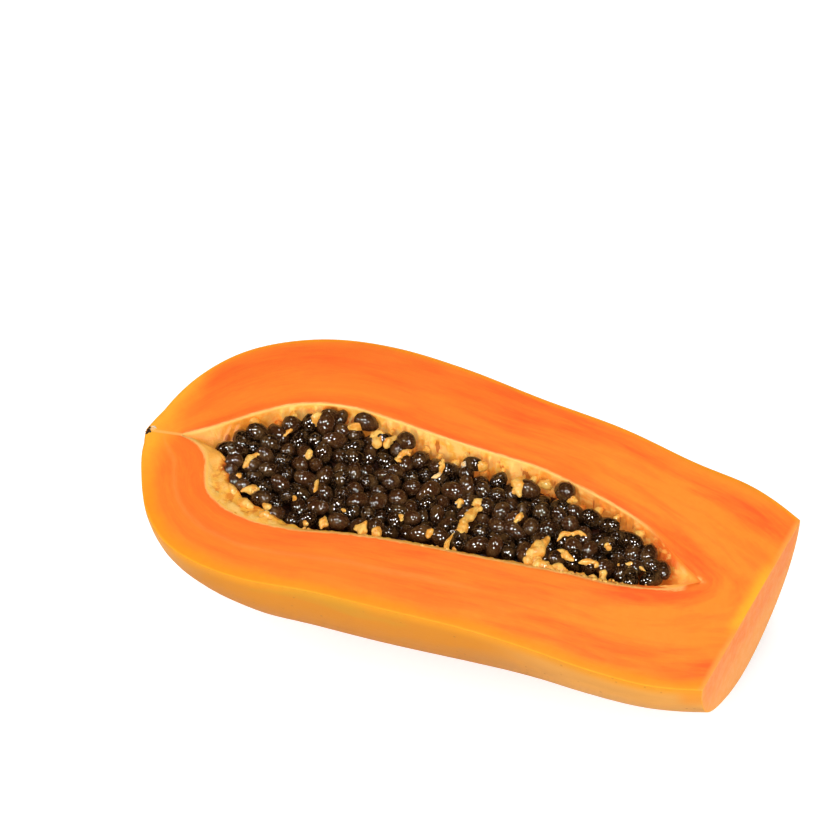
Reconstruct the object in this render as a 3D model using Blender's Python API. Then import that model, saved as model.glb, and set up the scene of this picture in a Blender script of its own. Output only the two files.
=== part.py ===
"""A ripe papaya cut in half lengthways, its neck end cut off, with the seeds still in its cavity.

The half is modelled in the frame of its cut face: x runs from the blossom tip towards the neck, y across
the face and z up, with the cut face at z = 0. It is then tipped a little, neck down, as it lies on a table.
"""

import math

import bmesh
import bpy
import numpy as np
from mathutils import Euler, Matrix, Vector, noise

# Driving dimensions, in metres and degrees.
LENGTH = 0.230  # blossom tip to the middle of the neck's cut end
UNCUT_LENGTH = 1.15 * LENGTH  # where the neck would have closed
LIE_ANGLE = 4.6  # how far the neck tips down when the half lies on its back
LIE_PLACE = Vector((-0.1161, -0.0092, 0.0634))  # the blossom tip, from the middle of the footprint
FLAT_SPOT_DEPTH = 0.0007  # how far the skin is flattened where it lies
END_CUT_ANGLE = 5.7  # the knife's slant across the neck

# Outlines, as shares of the length: (along, across). Far is towards +y, near towards -y.
SKIN_FAR = (
    (0.000, 0.000), (0.022, 0.134), (0.066, 0.212), (0.124, 0.262), (0.200, 0.298), (0.300, 0.315),
    (0.420, 0.311), (0.560, 0.292), (0.700, 0.277), (0.830, 0.248), (0.930, 0.231), (1.019, 0.190),
    (1.150, 0.000),
)
SKIN_NEAR = (
    (0.000, 0.000), (0.025, 0.088), (0.069, 0.163), (0.123, 0.210), (0.190, 0.232), (0.270, 0.235),
    (0.360, 0.222), (0.480, 0.214), (0.620, 0.206), (0.720, 0.208), (0.800, 0.213), (0.908, 0.209),
    (0.983, 0.188), (1.150, 0.000),
)
SKIN_DEPTH = (
    (0.000, 0.000), (0.050, 0.103), (0.120, 0.151), (0.200, 0.194), (0.300, 0.229), (0.400, 0.240),
    (0.500, 0.235), (0.600, 0.223), (0.700, 0.204), (0.800, 0.187), (0.900, 0.174), (1.000, 0.157),
    (1.150, 0.000),
)
CAVITY_START = 0.052
CAVITY_END = 0.915
CAVITY_FAR = (
    (0.052, 0.011), (0.098, 0.050), (0.141, 0.094), (0.181, 0.128), (0.229, 0.152), (0.282, 0.163),
    (0.341, 0.162), (0.435, 0.155), (0.521, 0.151), (0.606, 0.147), (0.679, 0.132), (0.743, 0.114),
    (0.814, 0.084), (0.870, 0.045), (0.915, 0.015),
)
CAVITY_NEAR = (
    (0.052, 0.008), (0.085, -0.001), (0.106, -0.020), (0.131, -0.075), (0.166, -0.104), (0.210, -0.117),
    (0.283, -0.114), (0.383, -0.089), (0.471, -0.074), (0.583, -0.061), (0.716, -0.044), (0.814, -0.034),
    (0.880, -0.012), (0.915, 0.014),
)
CAVITY_DEPTH = (
    (0.052, 0.004), (0.085, 0.012), (0.112, 0.028), (0.135, 0.056), (0.175, 0.104), (0.230, 0.126),
    (0.320, 0.134),
    (0.430, 0.126), (0.550, 0.112), (0.680, 0.092), (0.780, 0.068), (0.860, 0.036), (0.915, 0.006),
)

# The fruit has five carpels, which show as faint ribs outside and as soft corners inside.
CARPELS = 5
SKIN_RIB = 0.014  # share of the radius
CAVITY_RIB = 0.045
SKIN_LUMP = 0.0005
TIP_POINT = 0.0014  # how far the blossom tip stands out of the round end
LINING_LUMP = 0.0009  # height of the pulp's lumps on the cavity's wall
LEDGE_SHARE = 0.8  # how much of the room between near wall and seeds the pulp's ledge takes
LEDGE_DROP = 0.0016  # how far the ledge slopes down to its edge
SHELF_REACH = 0.0042  # how far the pulp's shelf reaches along the fruit at the blossom end
SHELF_DROP = 0.0022
RIM_SMOOTH = 0.30  # share of the wall's depth below the rim that stays smooth

# The seeds, each in its wet sac.
SEED_COUNT = 280
SEED_LONG = 0.0042  # half axes
SEED_WIDE = 0.0033
SEED_SPREAD = 0.13  # seeds differ by this share in size
SEED_TILT = 1.0  # radians, most that a seed's long axis leans from level
SEED_DROP = 0.0042  # most that a seed of the top layer lies below the heap's top
SEED_RNG = 17
SEEDS_START = 0.105  # as shares of the length
SEEDS_END = 0.835
SETTLE_STEPS = 260
WALL_GAP = 0.0020  # from the mean wall to a seed, so that it clears the pulp
NEAR_GAP = 0.0022  # further from the near wall, where the pulp is thicker
TIP_GAP = 0.0085  # further from the near wall at the blossom end
HEAP_TOP = 0.0004  # highest the seeds reach, at the near rim
HEAP_FALL = 0.0002  # how much lower they lie at the far rim
HEAP_DIP = 0.0055  # and how much more halfway along it
HEAP_VALLEY = 0.0020  # how deep the hollow along the middle is
TOP_LAYER = 0.0034  # seeds buried deeper than this are left to the core
SEED_SIDES = 7
SEED_RINGS = 4
CORE_DEPTH = 0.0042  # the core's top, below the heap's
CORE_GAP = 0.0019  # from the mean wall to the core
CORE_START = 0.110  # as shares of the length
CORE_END = 0.835

SKIN_SIDES = 40
SKIN_RINGS = 44
CAVITY_SIDES = 28
CAVITY_RINGS = 66
CORE_SIDES = 14
CORE_RINGS = 16


def curve(points, along):
    """The height of a smooth curve through the points, at a share of the length."""
    xs = np.array([p[0] for p in points])
    ys = np.array([p[1] for p in points])
    step = np.diff(xs)
    slope = np.diff(ys) / step
    tangent = np.empty(len(xs))
    tangent[1:-1] = (slope[:-1] * step[1:] + slope[1:] * step[:-1]) / (step[1:] + step[:-1])
    tangent[0], tangent[-1] = slope[0], slope[-1]
    x = np.clip(along, xs[0], xs[-1])
    i = np.clip(np.searchsorted(xs, x) - 1, 0, len(xs) - 2)
    t = (x - xs[i]) / step[i]
    rise = ys[i] * (1 + 2 * t) * (1 - t) ** 2 + ys[i + 1] * t * t * (3 - 2 * t)
    return rise + step[i] * t * (1 - t) * (tangent[i] * (1 - t) - tangent[i + 1] * t)


def round_ended(points, length):
    """The same outline over the angle of a half circle, so that its ends come out round."""
    return tuple((math.acos(1 - 2 * x / length), y) for x, y in points)


SKIN_SPAN = UNCUT_LENGTH / LENGTH
SKIN_FAR_ROUND = round_ended(SKIN_FAR, SKIN_SPAN)
SKIN_NEAR_ROUND = round_ended(SKIN_NEAR, SKIN_SPAN)
SKIN_DEPTH_ROUND = round_ended(SKIN_DEPTH, SKIN_SPAN)


def skin_section(angle_along):
    """(x, middle y, half width, depth) of the fruit at a point of its length."""
    x = UNCUT_LENGTH * (1 - math.cos(angle_along)) / 2
    far = LENGTH * curve(SKIN_FAR_ROUND, angle_along)
    near = LENGTH * curve(SKIN_NEAR_ROUND, angle_along)
    return x, (far - near) / 2, (far + near) / 2, LENGTH * curve(SKIN_DEPTH_ROUND, angle_along)


def cavity_section(along):
    """(middle y, half width, depth) of the cavity at a share of the length, which may be an array."""
    far = LENGTH * curve(CAVITY_FAR, along)
    near = LENGTH * curve(CAVITY_NEAR, along)
    return (far + near) / 2, (far - near) / 2, LENGTH * curve(CAVITY_DEPTH, along)


def heap_top(x, y):
    """Height of the heap of seeds: highest at the near rim, with a hollow along its middle."""
    middle, half, _ = cavity_section(x / LENGTH)
    side = np.clip((y - middle) / np.maximum(half, 1e-6), -1, 1)
    hollow = HEAP_VALLEY * np.exp(-((side / 0.45) ** 2)) * np.minimum(1, half / 0.02)
    dip = HEAP_DIP * np.exp(-(((x / LENGTH - 0.47) / 0.12) ** 2))
    return HEAP_TOP - (HEAP_FALL + dip) * (side + 1) / 2 - hollow


def pulp_room(along, nearness):
    """Width of the pulp inside the wall: nearness runs from -1 at the far rim to 1 at the near rim."""
    tip = np.clip((0.26 - along) / 0.10, 0, 1)
    return np.clip(0.5 + nearness, 0, 1) * np.maximum(NEAR_GAP, TIP_GAP * tip)


def sphere_grid(sides, rings):
    """A unit sphere as a bmesh, with each vertex's angle from the +Z pole and angle round it."""
    grid = bmesh.new()
    bmesh.ops.create_uvsphere(grid, u_segments=sides, v_segments=rings, radius=1)
    angles = {}
    for vertex in grid.verts:
        polar = math.acos(max(-1, min(1, vertex.co.z)))
        angles[vertex] = (polar, math.atan2(vertex.co.y, vertex.co.x))
    return grid, angles


def as_object(grid, name, collection):
    bmesh.ops.recalc_face_normals(grid, faces=grid.faces)
    mesh = bpy.data.meshes.new(name)
    grid.to_mesh(mesh)
    grid.free()
    made = bpy.data.objects.new(name, mesh)
    collection.objects.link(made)
    return made


def cut_off(grid, point, normal):
    """Removes what lies on the normal's side of a plane and closes the cut with one face."""
    geometry = grid.verts[:] + grid.edges[:] + grid.faces[:]
    cut = bmesh.ops.bisect_plane(
        grid, geom=geometry, dist=1e-6, plane_co=point, plane_no=normal, clear_outer=True
    )
    rim = [item for item in cut["geom_cut"] if isinstance(item, bmesh.types.BMEdge)]
    bmesh.ops.contextual_create(grid, geom=rim)


def skin_point(polar, turn):
    """A point on the whole fruit's skin: turn 0 is the cut face's far edge, and 90 degrees the back."""
    x, middle, half, depth = skin_section(polar)
    below = math.sin(turn)
    rib = 1 + SKIN_RIB * below * below * math.cos(CARPELS * turn - math.pi / 2)
    lump = SKIN_LUMP * below * noise.noise(Vector((x, math.cos(turn) * half, depth * below)) * 45)
    across = half * math.cos(turn) * rib
    x -= TIP_POINT * max(0, 1 - polar / 0.10)
    return Vector((x, middle + across, -(depth * rib + lump) * below))


def lining_point(polar, turn):
    """A point on the cavity's wall, with soft corners at the carpels, and a ledge and a shelf of pulp."""
    share = (1 - math.cos(polar)) / 2
    along = CAVITY_START + (CAVITY_END - CAVITY_START) * share
    middle, half, depth = cavity_section(along)
    x = along * LENGTH
    below = math.sin(turn)
    inner = min(1, max(0, (below - RIM_SMOOTH * 0.35) / RIM_SMOOTH))
    corner = CAVITY_RIB * inner * math.cos(CARPELS * turn - math.pi / 2)
    spot = Vector((x, turn * half * 0.7, 0.03))
    relief = LINING_LUMP * inner * noise.noise(spot * 95) * min(1, half / 0.012)
    across = (half * (1 + corner) + relief) * math.cos(turn)
    down = (depth * (1 + corner) + relief) * below
    ledge = min(LEDGE_SHARE * pulp_room(along, -math.cos(turn)), 0.3 * half)
    ledge *= max(0, min(1, down / LEDGE_DROP))
    shelf = min(1, max(0, (along - 0.075) / 0.03)) * min(1, max(0, (0.235 - along) / 0.11))
    shelf *= min(1, max(0, -1.3 * math.cos(turn))) * max(0, min(1, down / SHELF_DROP))
    x += SHELF_REACH * shelf * (1 - below**2)
    return Vector((x, middle + across + ledge * (1 - below**2), -down))


def fruit_half(collection, cutters):
    """Flesh and skin in one: the closed fruit, cut by the knife twice and hollowed by its cavity."""
    grid, angles = sphere_grid(SKIN_SIDES, SKIN_RINGS)
    for vertex, (polar, turn) in angles.items():
        vertex.co = skin_point(polar, turn)
    cut_off(grid, Vector(), Vector((0, 0, 1)))
    slant = math.radians(END_CUT_ANGLE)
    cut_off(grid, Vector((LENGTH, 0, 0)), Vector((math.cos(slant), -math.sin(slant), 0)))
    down = Euler((0, math.radians(LIE_ANGLE), 0)).to_matrix().inverted() @ Vector((0, 0, -1))
    lowest = max(vertex.co.dot(down) for vertex in grid.verts)
    cut_off(grid, down * (lowest - FLAT_SPOT_DEPTH), down)
    fruit = as_object(grid, "fruit_half", collection)

    hollow, angles = sphere_grid(CAVITY_SIDES, CAVITY_RINGS)
    for vertex, (polar, turn) in angles.items():
        vertex.co = lining_point(polar, turn)
    cutter = as_object(hollow, "cavity", cutters)
    cutter.hide_render = True
    cutter.display_type = "WIRE"
    carve = fruit.modifiers.new("cavity", "BOOLEAN")
    carve.operation = "DIFFERENCE"
    carve.object = cutter
    return fruit, cutter


def wall_room(points):
    """How far each point is from the cavity's mean wall, and the way away from the wall."""

    def level(p):
        middle, half, depth = cavity_section(p[:, 0] / LENGTH)
        across = (p[:, 1] - middle) / np.maximum(half, 1e-4)
        down = np.minimum(p[:, 2], 0) / np.maximum(depth, 1e-4)
        return np.sqrt(across**2 + down**2 + 1e-9)

    nudge = 2e-4
    here = level(points)
    slope = np.empty_like(points)
    for axis in range(3):
        moved = points.copy()
        moved[:, axis] += nudge
        slope[:, axis] = (level(moved) - here) / nudge
    steep = np.maximum(np.linalg.norm(slope, axis=1), 1e-6)
    return (1 - here) / steep, -slope / steep[:, None]


def wall_gap(points):
    """How much room there is between the wall and a seed at each point."""
    along = points[:, 0] / LENGTH
    middle, half, _ = cavity_section(along)
    return WALL_GAP + pulp_room(along, (middle - points[:, 1]) / half)


def settle_seeds():
    """Places, sizes and turns of the seeds: scattered in the cavity, then pushed apart to lie side by side."""
    draw = np.random.default_rng(SEED_RNG)
    size = 1 + SEED_SPREAD * draw.uniform(-1, 1, SEED_COUNT)
    turns = draw.uniform(-1, 1, (SEED_COUNT, 3)) * (math.pi, SEED_TILT, math.pi)
    level = np.cos(turns[:, 1])
    heading = turns[:, 2]
    long_axis = np.stack((level * np.cos(heading), level * np.sin(heading), -np.sin(turns[:, 1])), 1)
    along = SEEDS_START + (SEEDS_END - SEEDS_START) * draw.uniform(0, 1, SEED_COUNT)
    middle, half, _ = cavity_section(along)
    place = np.empty((SEED_COUNT, 3))
    place[:, 0] = along * LENGTH
    place[:, 1] = middle + half * draw.uniform(-0.8, 0.8, SEED_COUNT)
    place[:, 2] = heap_top(place[:, 0], place[:, 1]) - draw.uniform(0.003, 0.016, SEED_COUNT)
    drop = SEED_DROP * draw.uniform(0, 1, SEED_COUNT) ** 2

    def reach(cosine):
        """How far a seed of middle size reaches at an angle to its long axis."""
        return 1 / np.sqrt((1 - cosine**2) / SEED_WIDE**2 + cosine**2 / SEED_LONG**2)

    for _ in range(SETTLE_STEPS):
        apart = place[:, None] - place[None]
        distance = np.linalg.norm(apart, axis=2) + 1e-9
        way = apart / distance[..., None]
        own = size[:, None] * reach((way * long_axis[:, None]).sum(axis=2))
        overlap = np.maximum(0, own + own.T - distance)
        np.fill_diagonal(overlap, 0)
        place += 0.4 * (way * overlap[..., None]).sum(axis=1)
        place[:, 0] = np.clip(place[:, 0], SEEDS_START * LENGTH, SEEDS_END * LENGTH)
        height = size * reach(long_axis[:, 2])
        highest = heap_top(place[:, 0], place[:, 1]) - height - drop
        place[:, 2] = np.minimum(place[:, 2] + 0.0002, highest)
        room, inward = wall_room(place)
        short = np.clip(size * SEED_LONG + wall_gap(place) - room, 0, 0.002)
        place += short[:, None] * inward
    return place, size, turns


def outer_body(grid):
    """Keeps the largest closed body: the pockets sealed in between the seeds are filled."""
    waiting = set(grid.faces)
    bodies = []
    while waiting:
        body = [waiting.pop()]
        for face in body:
            for edge in face.edges:
                for other in edge.link_faces:
                    if other in waiting:
                        waiting.remove(other)
                        body.append(other)
        bodies.append(body)
    bodies.sort(key=len)
    for body in bodies[:-1]:
        bmesh.ops.delete(grid, geom=body, context="FACES")


def core_edge(x, middle, wide, deep, way):
    """The angle, on the core's side, at which it reaches the height of its own top."""
    edge = 0.0
    for _ in range(6):
        top = heap_top(x, middle + way * wide * math.cos(edge)) - CORE_DEPTH
        edge = math.asin(min(0.95, -top / deep))
    return edge


def core_body(collection):
    """The heap under the top layer of seeds, a little smaller than the cavity."""
    grid, angles = sphere_grid(CORE_SIDES, CORE_RINGS)
    for vertex, (polar, turn) in angles.items():
        along = CORE_START + (CORE_END - CORE_START) * (1 - math.cos(polar)) / 2
        x = along * LENGTH
        middle, half, depth = cavity_section(along)
        shrink = math.sin(polar) ** 0.5
        wide = (half - CORE_GAP) * shrink
        deep = max(depth - CORE_GAP, 0.002) * shrink + 1e-5
        far = core_edge(x, middle, wide, deep, 1)
        near = core_edge(x, middle, wide, deep, -1)
        if turn > 0:
            round_side = far + (math.pi - far - near) * turn / math.pi
            y = middle + wide * math.cos(round_side)
            thin = heap_top(x, y) - CORE_DEPTH - 0.002 * math.sin(turn) * shrink
            z = min(-deep * math.sin(round_side), thin)
        else:
            far_y = middle + wide * math.cos(far)
            near_y = middle - wide * math.cos(near)
            y = (far_y + near_y) / 2 + (far_y - near_y) / 2 * math.cos(turn)
            z = heap_top(x, y) - CORE_DEPTH
        vertex.co = Vector((x, y, z))
    return as_object(grid, "seeds", collection)


def seed_bed(collection):
    """The seeds of the top layer, fused to the heap under them."""
    place, size, turns = settle_seeds()
    copies = bpy.data.collections.new("seed_copies")
    bpy.context.scene.collection.children.link(copies)
    grid = bmesh.new()
    level = Euler((0, math.pi / 2, 0)).to_matrix().to_4x4()
    bmesh.ops.create_uvsphere(grid, u_segments=SEED_SIDES, v_segments=SEED_RINGS, radius=1, matrix=level)
    one = bpy.data.meshes.new("seed")
    grid.to_mesh(one)
    grid.free()
    room, _ = wall_room(place)
    buried = heap_top(place[:, 0], place[:, 1]) - place[:, 2] - SEED_WIDE * size
    shown = (buried < TOP_LAYER) & (room > SEED_LONG * size * 0.9)
    for index in np.flatnonzero(shown):
        seed = bpy.data.objects.new(f"seed_{index}", one)
        axes = Matrix.Diagonal((SEED_LONG, SEED_WIDE, SEED_WIDE)) * float(size[index])
        turned = Euler(turns[index]).to_matrix() @ axes
        seed.matrix_world = Matrix.Translation(place[index]) @ turned.to_4x4()
        copies.objects.link(seed)

    bed = core_body(collection)
    join = bed.modifiers.new("seeds", "BOOLEAN")
    join.operation = "UNION"
    join.operand_type = "COLLECTION"
    join.collection = copies
    join.solver = "MANIFOLD"
    bpy.context.view_layer.update()
    joined = bed.evaluated_get(bpy.context.evaluated_depsgraph_get())
    bed.data = bpy.data.meshes.new_from_object(joined)
    bed.modifiers.clear()
    grid = bmesh.new()
    grid.from_mesh(bed.data)
    outer_body(grid)
    grid.to_mesh(bed.data)
    grid.free()
    for copy in list(copies.objects):
        bpy.data.objects.remove(copy)
    bpy.data.collections.remove(copies)
    return bed


def paint(made, name, colour, roughness, smooth_angle):
    finish = bpy.data.materials.new(name)
    finish.use_nodes = True
    shader = finish.node_tree.nodes["Principled BSDF"]
    shader.inputs["Base Color"].default_value = (*colour, 1)
    shader.inputs["Roughness"].default_value = roughness
    shader.inputs["Metallic"].default_value = 0
    made.data.materials.clear()
    made.data.materials.append(finish)
    made.data.shade_smooth()
    made.data.set_sharp_from_angle(angle=math.radians(smooth_angle))


def main():
    for old in list(bpy.data.objects):
        bpy.data.objects.remove(old)
    scene = bpy.context.scene.collection
    papaya = bpy.data.collections.new("papaya_half")
    cutters = bpy.data.collections.new("cutters")
    scene.children.link(papaya)
    scene.children.link(cutters)

    lying = bpy.data.objects.new("lying", None)
    lying.rotation_euler = (0, math.radians(LIE_ANGLE), 0)
    lying.location = LIE_PLACE
    papaya.objects.link(lying)

    fruit, cutter = fruit_half(papaya, cutters)
    seeds = seed_bed(papaya)
    for piece in (fruit, cutter, seeds):
        piece.parent = lying
    paint(fruit, "flesh_and_skin", (0.90, 0.27, 0.04), 0.45, 40)
    paint(seeds, "seed_black", (0.030, 0.020, 0.014), 0.22, 50)


main()
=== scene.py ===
import math

import bmesh
import bpy
import numpy as np
from mathutils import Euler, Matrix, Vector, kdtree, noise


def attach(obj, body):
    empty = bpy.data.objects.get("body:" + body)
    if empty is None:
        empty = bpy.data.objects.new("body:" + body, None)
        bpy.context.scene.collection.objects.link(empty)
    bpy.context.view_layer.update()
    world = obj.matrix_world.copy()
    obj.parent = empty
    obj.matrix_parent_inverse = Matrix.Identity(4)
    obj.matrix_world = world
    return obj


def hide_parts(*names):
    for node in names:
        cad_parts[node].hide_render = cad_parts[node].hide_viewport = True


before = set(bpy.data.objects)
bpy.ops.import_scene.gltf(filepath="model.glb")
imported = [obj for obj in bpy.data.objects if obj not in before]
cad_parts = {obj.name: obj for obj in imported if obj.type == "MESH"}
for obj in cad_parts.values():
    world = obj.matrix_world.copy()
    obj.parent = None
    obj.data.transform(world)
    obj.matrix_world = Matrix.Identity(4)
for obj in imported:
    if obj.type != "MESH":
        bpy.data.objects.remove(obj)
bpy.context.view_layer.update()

# A ripe papaya cut in half, with its seeds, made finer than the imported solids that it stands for.

# The fruit, in the frame of its cut face: x from the blossom tip to the neck, y across, z up.
# Outlines are shares of the length: (along, across), far towards +y, near towards -y.
fruit = {
    "length": 0.230,
    "uncutShare": 1.15,
    "lieAngle": 4.6,  # degrees, neck down, as it lies
    "blossomTip": (-0.1161, -0.0092, 0.0634),
    "endCutAngle": 5.7,
    "flatSpot": 0.0007,
    "skinFar": (
        (0.000, 0.000), (0.022, 0.134), (0.066, 0.212), (0.124, 0.262), (0.200, 0.298),
        (0.300, 0.315), (0.420, 0.311), (0.560, 0.292), (0.700, 0.277), (0.830, 0.248),
        (0.930, 0.231), (1.019, 0.190), (1.150, 0.000),
    ),
    "skinNear": (
        (0.000, 0.000), (0.025, 0.088), (0.069, 0.163), (0.123, 0.210), (0.190, 0.232),
        (0.270, 0.235), (0.360, 0.222), (0.480, 0.214), (0.620, 0.206), (0.720, 0.208),
        (0.800, 0.213), (0.908, 0.209), (0.983, 0.188), (1.150, 0.000),
    ),
    "skinDepth": (
        (0.000, 0.000), (0.050, 0.103), (0.120, 0.151), (0.200, 0.194), (0.300, 0.229),
        (0.400, 0.240), (0.500, 0.235), (0.600, 0.223), (0.700, 0.204), (0.800, 0.187),
        (0.900, 0.174), (1.000, 0.157), (1.150, 0.000),
    ),
    "carpels": 5,
    "rib": 0.014,
    "lump": 0.0005,
    "tipPoint": 0.0014,
    "edgeRound": 0.00035,
    # the line from the tip through the cavity's two points to the neck: how far across
    "middleLine": (0, 0.0095, 0.0145, 0.018),
    "fleshWave": 0.00022,  # how far the knife's face is from flat
    "neckSteps": 14,
    "mergeWithin": 0.00002,
    "alongSteps": 450,
    "fleshSteps": 20,  # from the cavity's rim to the skin
    "aroundSteps": 40,  # must be twice fleshSteps, so that the neck's corners meet
}

cavity = {
    "start": 0.052,
    "end": 0.915,
    "far": (
        (0.052, 0.0095), (0.098, 0.050), (0.141, 0.094), (0.181, 0.128), (0.229, 0.152),
        (0.282, 0.163), (0.341, 0.162), (0.435, 0.155), (0.521, 0.151), (0.606, 0.147),
        (0.679, 0.132), (0.743, 0.114), (0.814, 0.084), (0.870, 0.045), (0.915, 0.0145),
    ),
    "near": (
        (0.052, 0.0095), (0.085, -0.001), (0.106, -0.020), (0.131, -0.075), (0.166, -0.104),
        (0.210, -0.117), (0.283, -0.114), (0.383, -0.089), (0.471, -0.074), (0.583, -0.061),
        (0.716, -0.044), (0.814, -0.034), (0.880, -0.012), (0.915, 0.0145),
    ),
    "depth": (
        (0.052, 0.004), (0.085, 0.012), (0.112, 0.028), (0.135, 0.056), (0.175, 0.104),
        (0.230, 0.126), (0.320, 0.134), (0.430, 0.126), (0.550, 0.112), (0.680, 0.092),
        (0.780, 0.068), (0.860, 0.036), (0.915, 0.006),
    ),
    "corner": 0.045,
    "rimSmooth": 0.30,
    "lump": 0.0009,
    "ledgeShare": 0.95,
    "ledgeDrop": 0.0016,
    "strandHeight": 0.0012,  # ridges down the far wall
    "strandPitch": 0.0036,
    "grainHeight": 0.00022,
    "shelfReach": 0.0075,  # the broad shelf of pulp at the blossom end
    "shelfHeight": 0.0011,  # and its lumps
    "raggedRim": 0.00035,
    "lip": 1.1,  # how much gentler the wall starts at the two ends
    "wallSteps": 64,
    "wallBreaks": (0.41, 0.59),  # shares of those steps on the far wall, and up to the near wall
    "wallShares": (0.14, 0.88),  # and how much of the half turn each part takes
}

seeds = {
    "count": 280,
    "long": 0.0042,  # half axes
    "wide": 0.0033,
    "spread": 0.13,
    "tilt": 1.0,
    "drop": 0.0042,  # most that one lies below the heap's top
    "draw": 17,
    "start": 0.105,
    "end": 0.835,
    "steps": 260,
    "push": 0.4,  # share of an overlap that a step undoes
    "climb": 0.0002,
    "slip": 0.002,  # most that a step moves one off the wall
    "wallGap": 0.0020,
    "nearGap": 0.0022,
    "tipGap": 0.0085,
    "heapTop": 0.0004,
    "heapFall": 0.0002,
    "heapDip": 0.0055,
    "heapValley": 0.0020,
    "sides": 12,
    "rings": 6,
    "egg": 0.12,  # one end is slimmer than the other
    "dent": 0.10,
    "stretch": (-0.03, 0.20),  # how much longer than its settled size a seed may be
    "swell": 1.05,  # the wet sacs press on each other
    "shapeDraw": 7,
    "deepest": 0.0065,  # seeds buried deeper than this are left out
    "clear": 0.0038,  # the heap leaves this much room around each caught seed
    "caughtDraw": 5,
    # seeds caught in the walls and at both ends: place in millimetres and size
    "caught": (
        (71.3, 34.8, -2.6, 1.0), (88.4, 31.6, -3.0, 1.05), (57.7, 33.4, -3.0, 0.85),
        (61.5, 34.0, -3.6, 0.75), (150.7, 28.8, -2.6, 1.1), (115.2, 30.0, -3.2, 0.85),
        (28.6, 4.1, -3.2, 0.95), (33.4, -1.6, -2.8, 0.95), (34.6, -6.0, -2.2, 0.75),
        (41.6, -11.4, -2.0, 0.72), (50.5, -14.6, -2.2, 0.95), (195.5, 5.8, -3.0, 0.95),
        (193.0, 0.2, -2.8, 1.0), (188.6, 11.3, -3.2, 1.0), (186.2, -2.6, -2.4, 1.0),
    ),
}


def smoothCurve(points, along):
    # heights of a smooth curve that passes through the points
    xs = np.array([p[0] for p in points])
    ys = np.array([p[1] for p in points])
    step = np.diff(xs)
    slope = np.diff(ys) / step
    tangent = np.empty(len(xs))
    tangent[1:-1] = (slope[:-1] * step[1:] + slope[1:] * step[:-1]) / (step[1:] + step[:-1])
    tangent[0], tangent[-1] = slope[0], slope[-1]
    x = np.clip(along, xs[0], xs[-1])
    i = np.clip(np.searchsorted(xs, x) - 1, 0, len(xs) - 2)
    t = (x - xs[i]) / step[i]
    eased = ys[i] * (1 + 2 * t) * (1 - t) ** 2 + ys[i + 1] * t * t * (3 - 2 * t)
    return eased + step[i] * t * (1 - t) * (tangent[i] * (1 - t) - tangent[i + 1] * t)


def roundEnded(points):
    # the outline over an angle from tip to neck, which rounds both ends
    return tuple((math.acos(1 - 2 * x / fruit["uncutShare"]), y) for x, y in points)


def rise(value, start, width):
    # from 0 at the start to 1 a width further on; a negative width rises the other way
    return np.clip((value - start) / width, 0, 1)


def noiseAt(points, scale, shift=0.0):
    offset = Vector((shift, shift * 1.7, shift * 0.6))
    return np.array([noise.noise(Vector(p) * scale + offset) for p in points])


length = fruit["length"]
lean = Euler((0, math.radians(fruit["lieAngle"]), 0))
lie = Matrix.Translation(fruit["blossomTip"]) @ lean.to_matrix().to_4x4()
skinCurves = [roundEnded(fruit[name]) for name in ("skinFar", "skinNear", "skinDepth")]
slant = math.radians(fruit["endCutAngle"])


def skinPoint(polar, turn):
    # polar is 0 at the tip, and turn goes from 0 at the far edge round below to pi at the near one
    x = length * fruit["uncutShare"] * (1 - np.cos(polar)) / 2
    far, near, depth = [length * smoothCurve(c, polar) for c in skinCurves]
    middle, half = (far - near) / 2, (far + near) / 2
    below = np.sin(turn)
    rib = 1 + fruit["rib"] * below**2 * np.cos(fruit["carpels"] * turn - math.pi / 2)
    x = x - fruit["tipPoint"] * np.maximum(0, 1 - polar / 0.10)
    return np.stack((x, middle + half * np.cos(turn) * rib, -depth * rib * below), -1)


def polarAtKnife(turn):
    # where the line along the skin at this turn meets the cut across the neck
    low, high = np.full_like(turn, 1.5), np.full_like(turn, 2.9)
    for _ in range(40):
        middle = (low + high) / 2
        p = skinPoint(middle, turn)
        outside = (p[..., 0] - length) * math.cos(slant) - p[..., 1] * math.sin(slant) > 0
        high = np.where(outside, middle, high)
        low = np.where(outside, low, middle)
    return (low + high) / 2


def cavitySection(along):
    # the cavity's middle, half width and depth
    far = length * smoothCurve(cavity["far"], along)
    near = length * smoothCurve(cavity["near"], along)
    return (far + near) / 2, (far - near) / 2, length * smoothCurve(cavity["depth"], along)


def heapTop(x, y):
    # the heap is highest at the near rim, with a hollow along its middle
    middle, half, _ = cavitySection(x / length)
    side = np.clip((y - middle) / np.maximum(half, 1e-6), -1, 1)
    hollow = seeds["heapValley"] * np.exp(-((side / 0.45) ** 2)) * np.minimum(1, half / 0.02)
    dip = seeds["heapDip"] * np.exp(-(((x / length - 0.47) / 0.12) ** 2))
    return seeds["heapTop"] - (seeds["heapFall"] + dip) * (side + 1) / 2 - hollow


def pulpRoom(along, nearness):
    # how far pulp keeps the seeds from the near wall and from the blossom end
    tip = rise(along, 0.26, -0.10)
    return np.clip(0.5 + nearness, 0, 1) * np.maximum(seeds["nearGap"], seeds["tipGap"] * tip)


# Steps along the fruit, the same for skin, flesh and cavity, and those at the cavity's two points.
steps = fruit["alongSteps"]
lastPolar = float(polarAtKnife(np.array([0.0]))[0])
startStep, endStep = [
    round(steps * math.acos(1 - 2 * cavity[end] / fruit["uncutShare"]) / lastPolar)
    for end in ("start", "end")
]


def stepPlace(u):
    return fruit["uncutShare"] * (1 - np.cos(lastPolar * u)) / 2


def innerAlong(u):
    # share of the length for the inner edge of the flesh
    knots = stepPlace(np.array([0, startStep, endStep, steps]) / steps)
    knife = 1 + fruit["middleLine"][-1] * math.tan(slant)
    return np.interp(stepPlace(u), knots, (0, cavity["start"], cavity["end"], knife))


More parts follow.
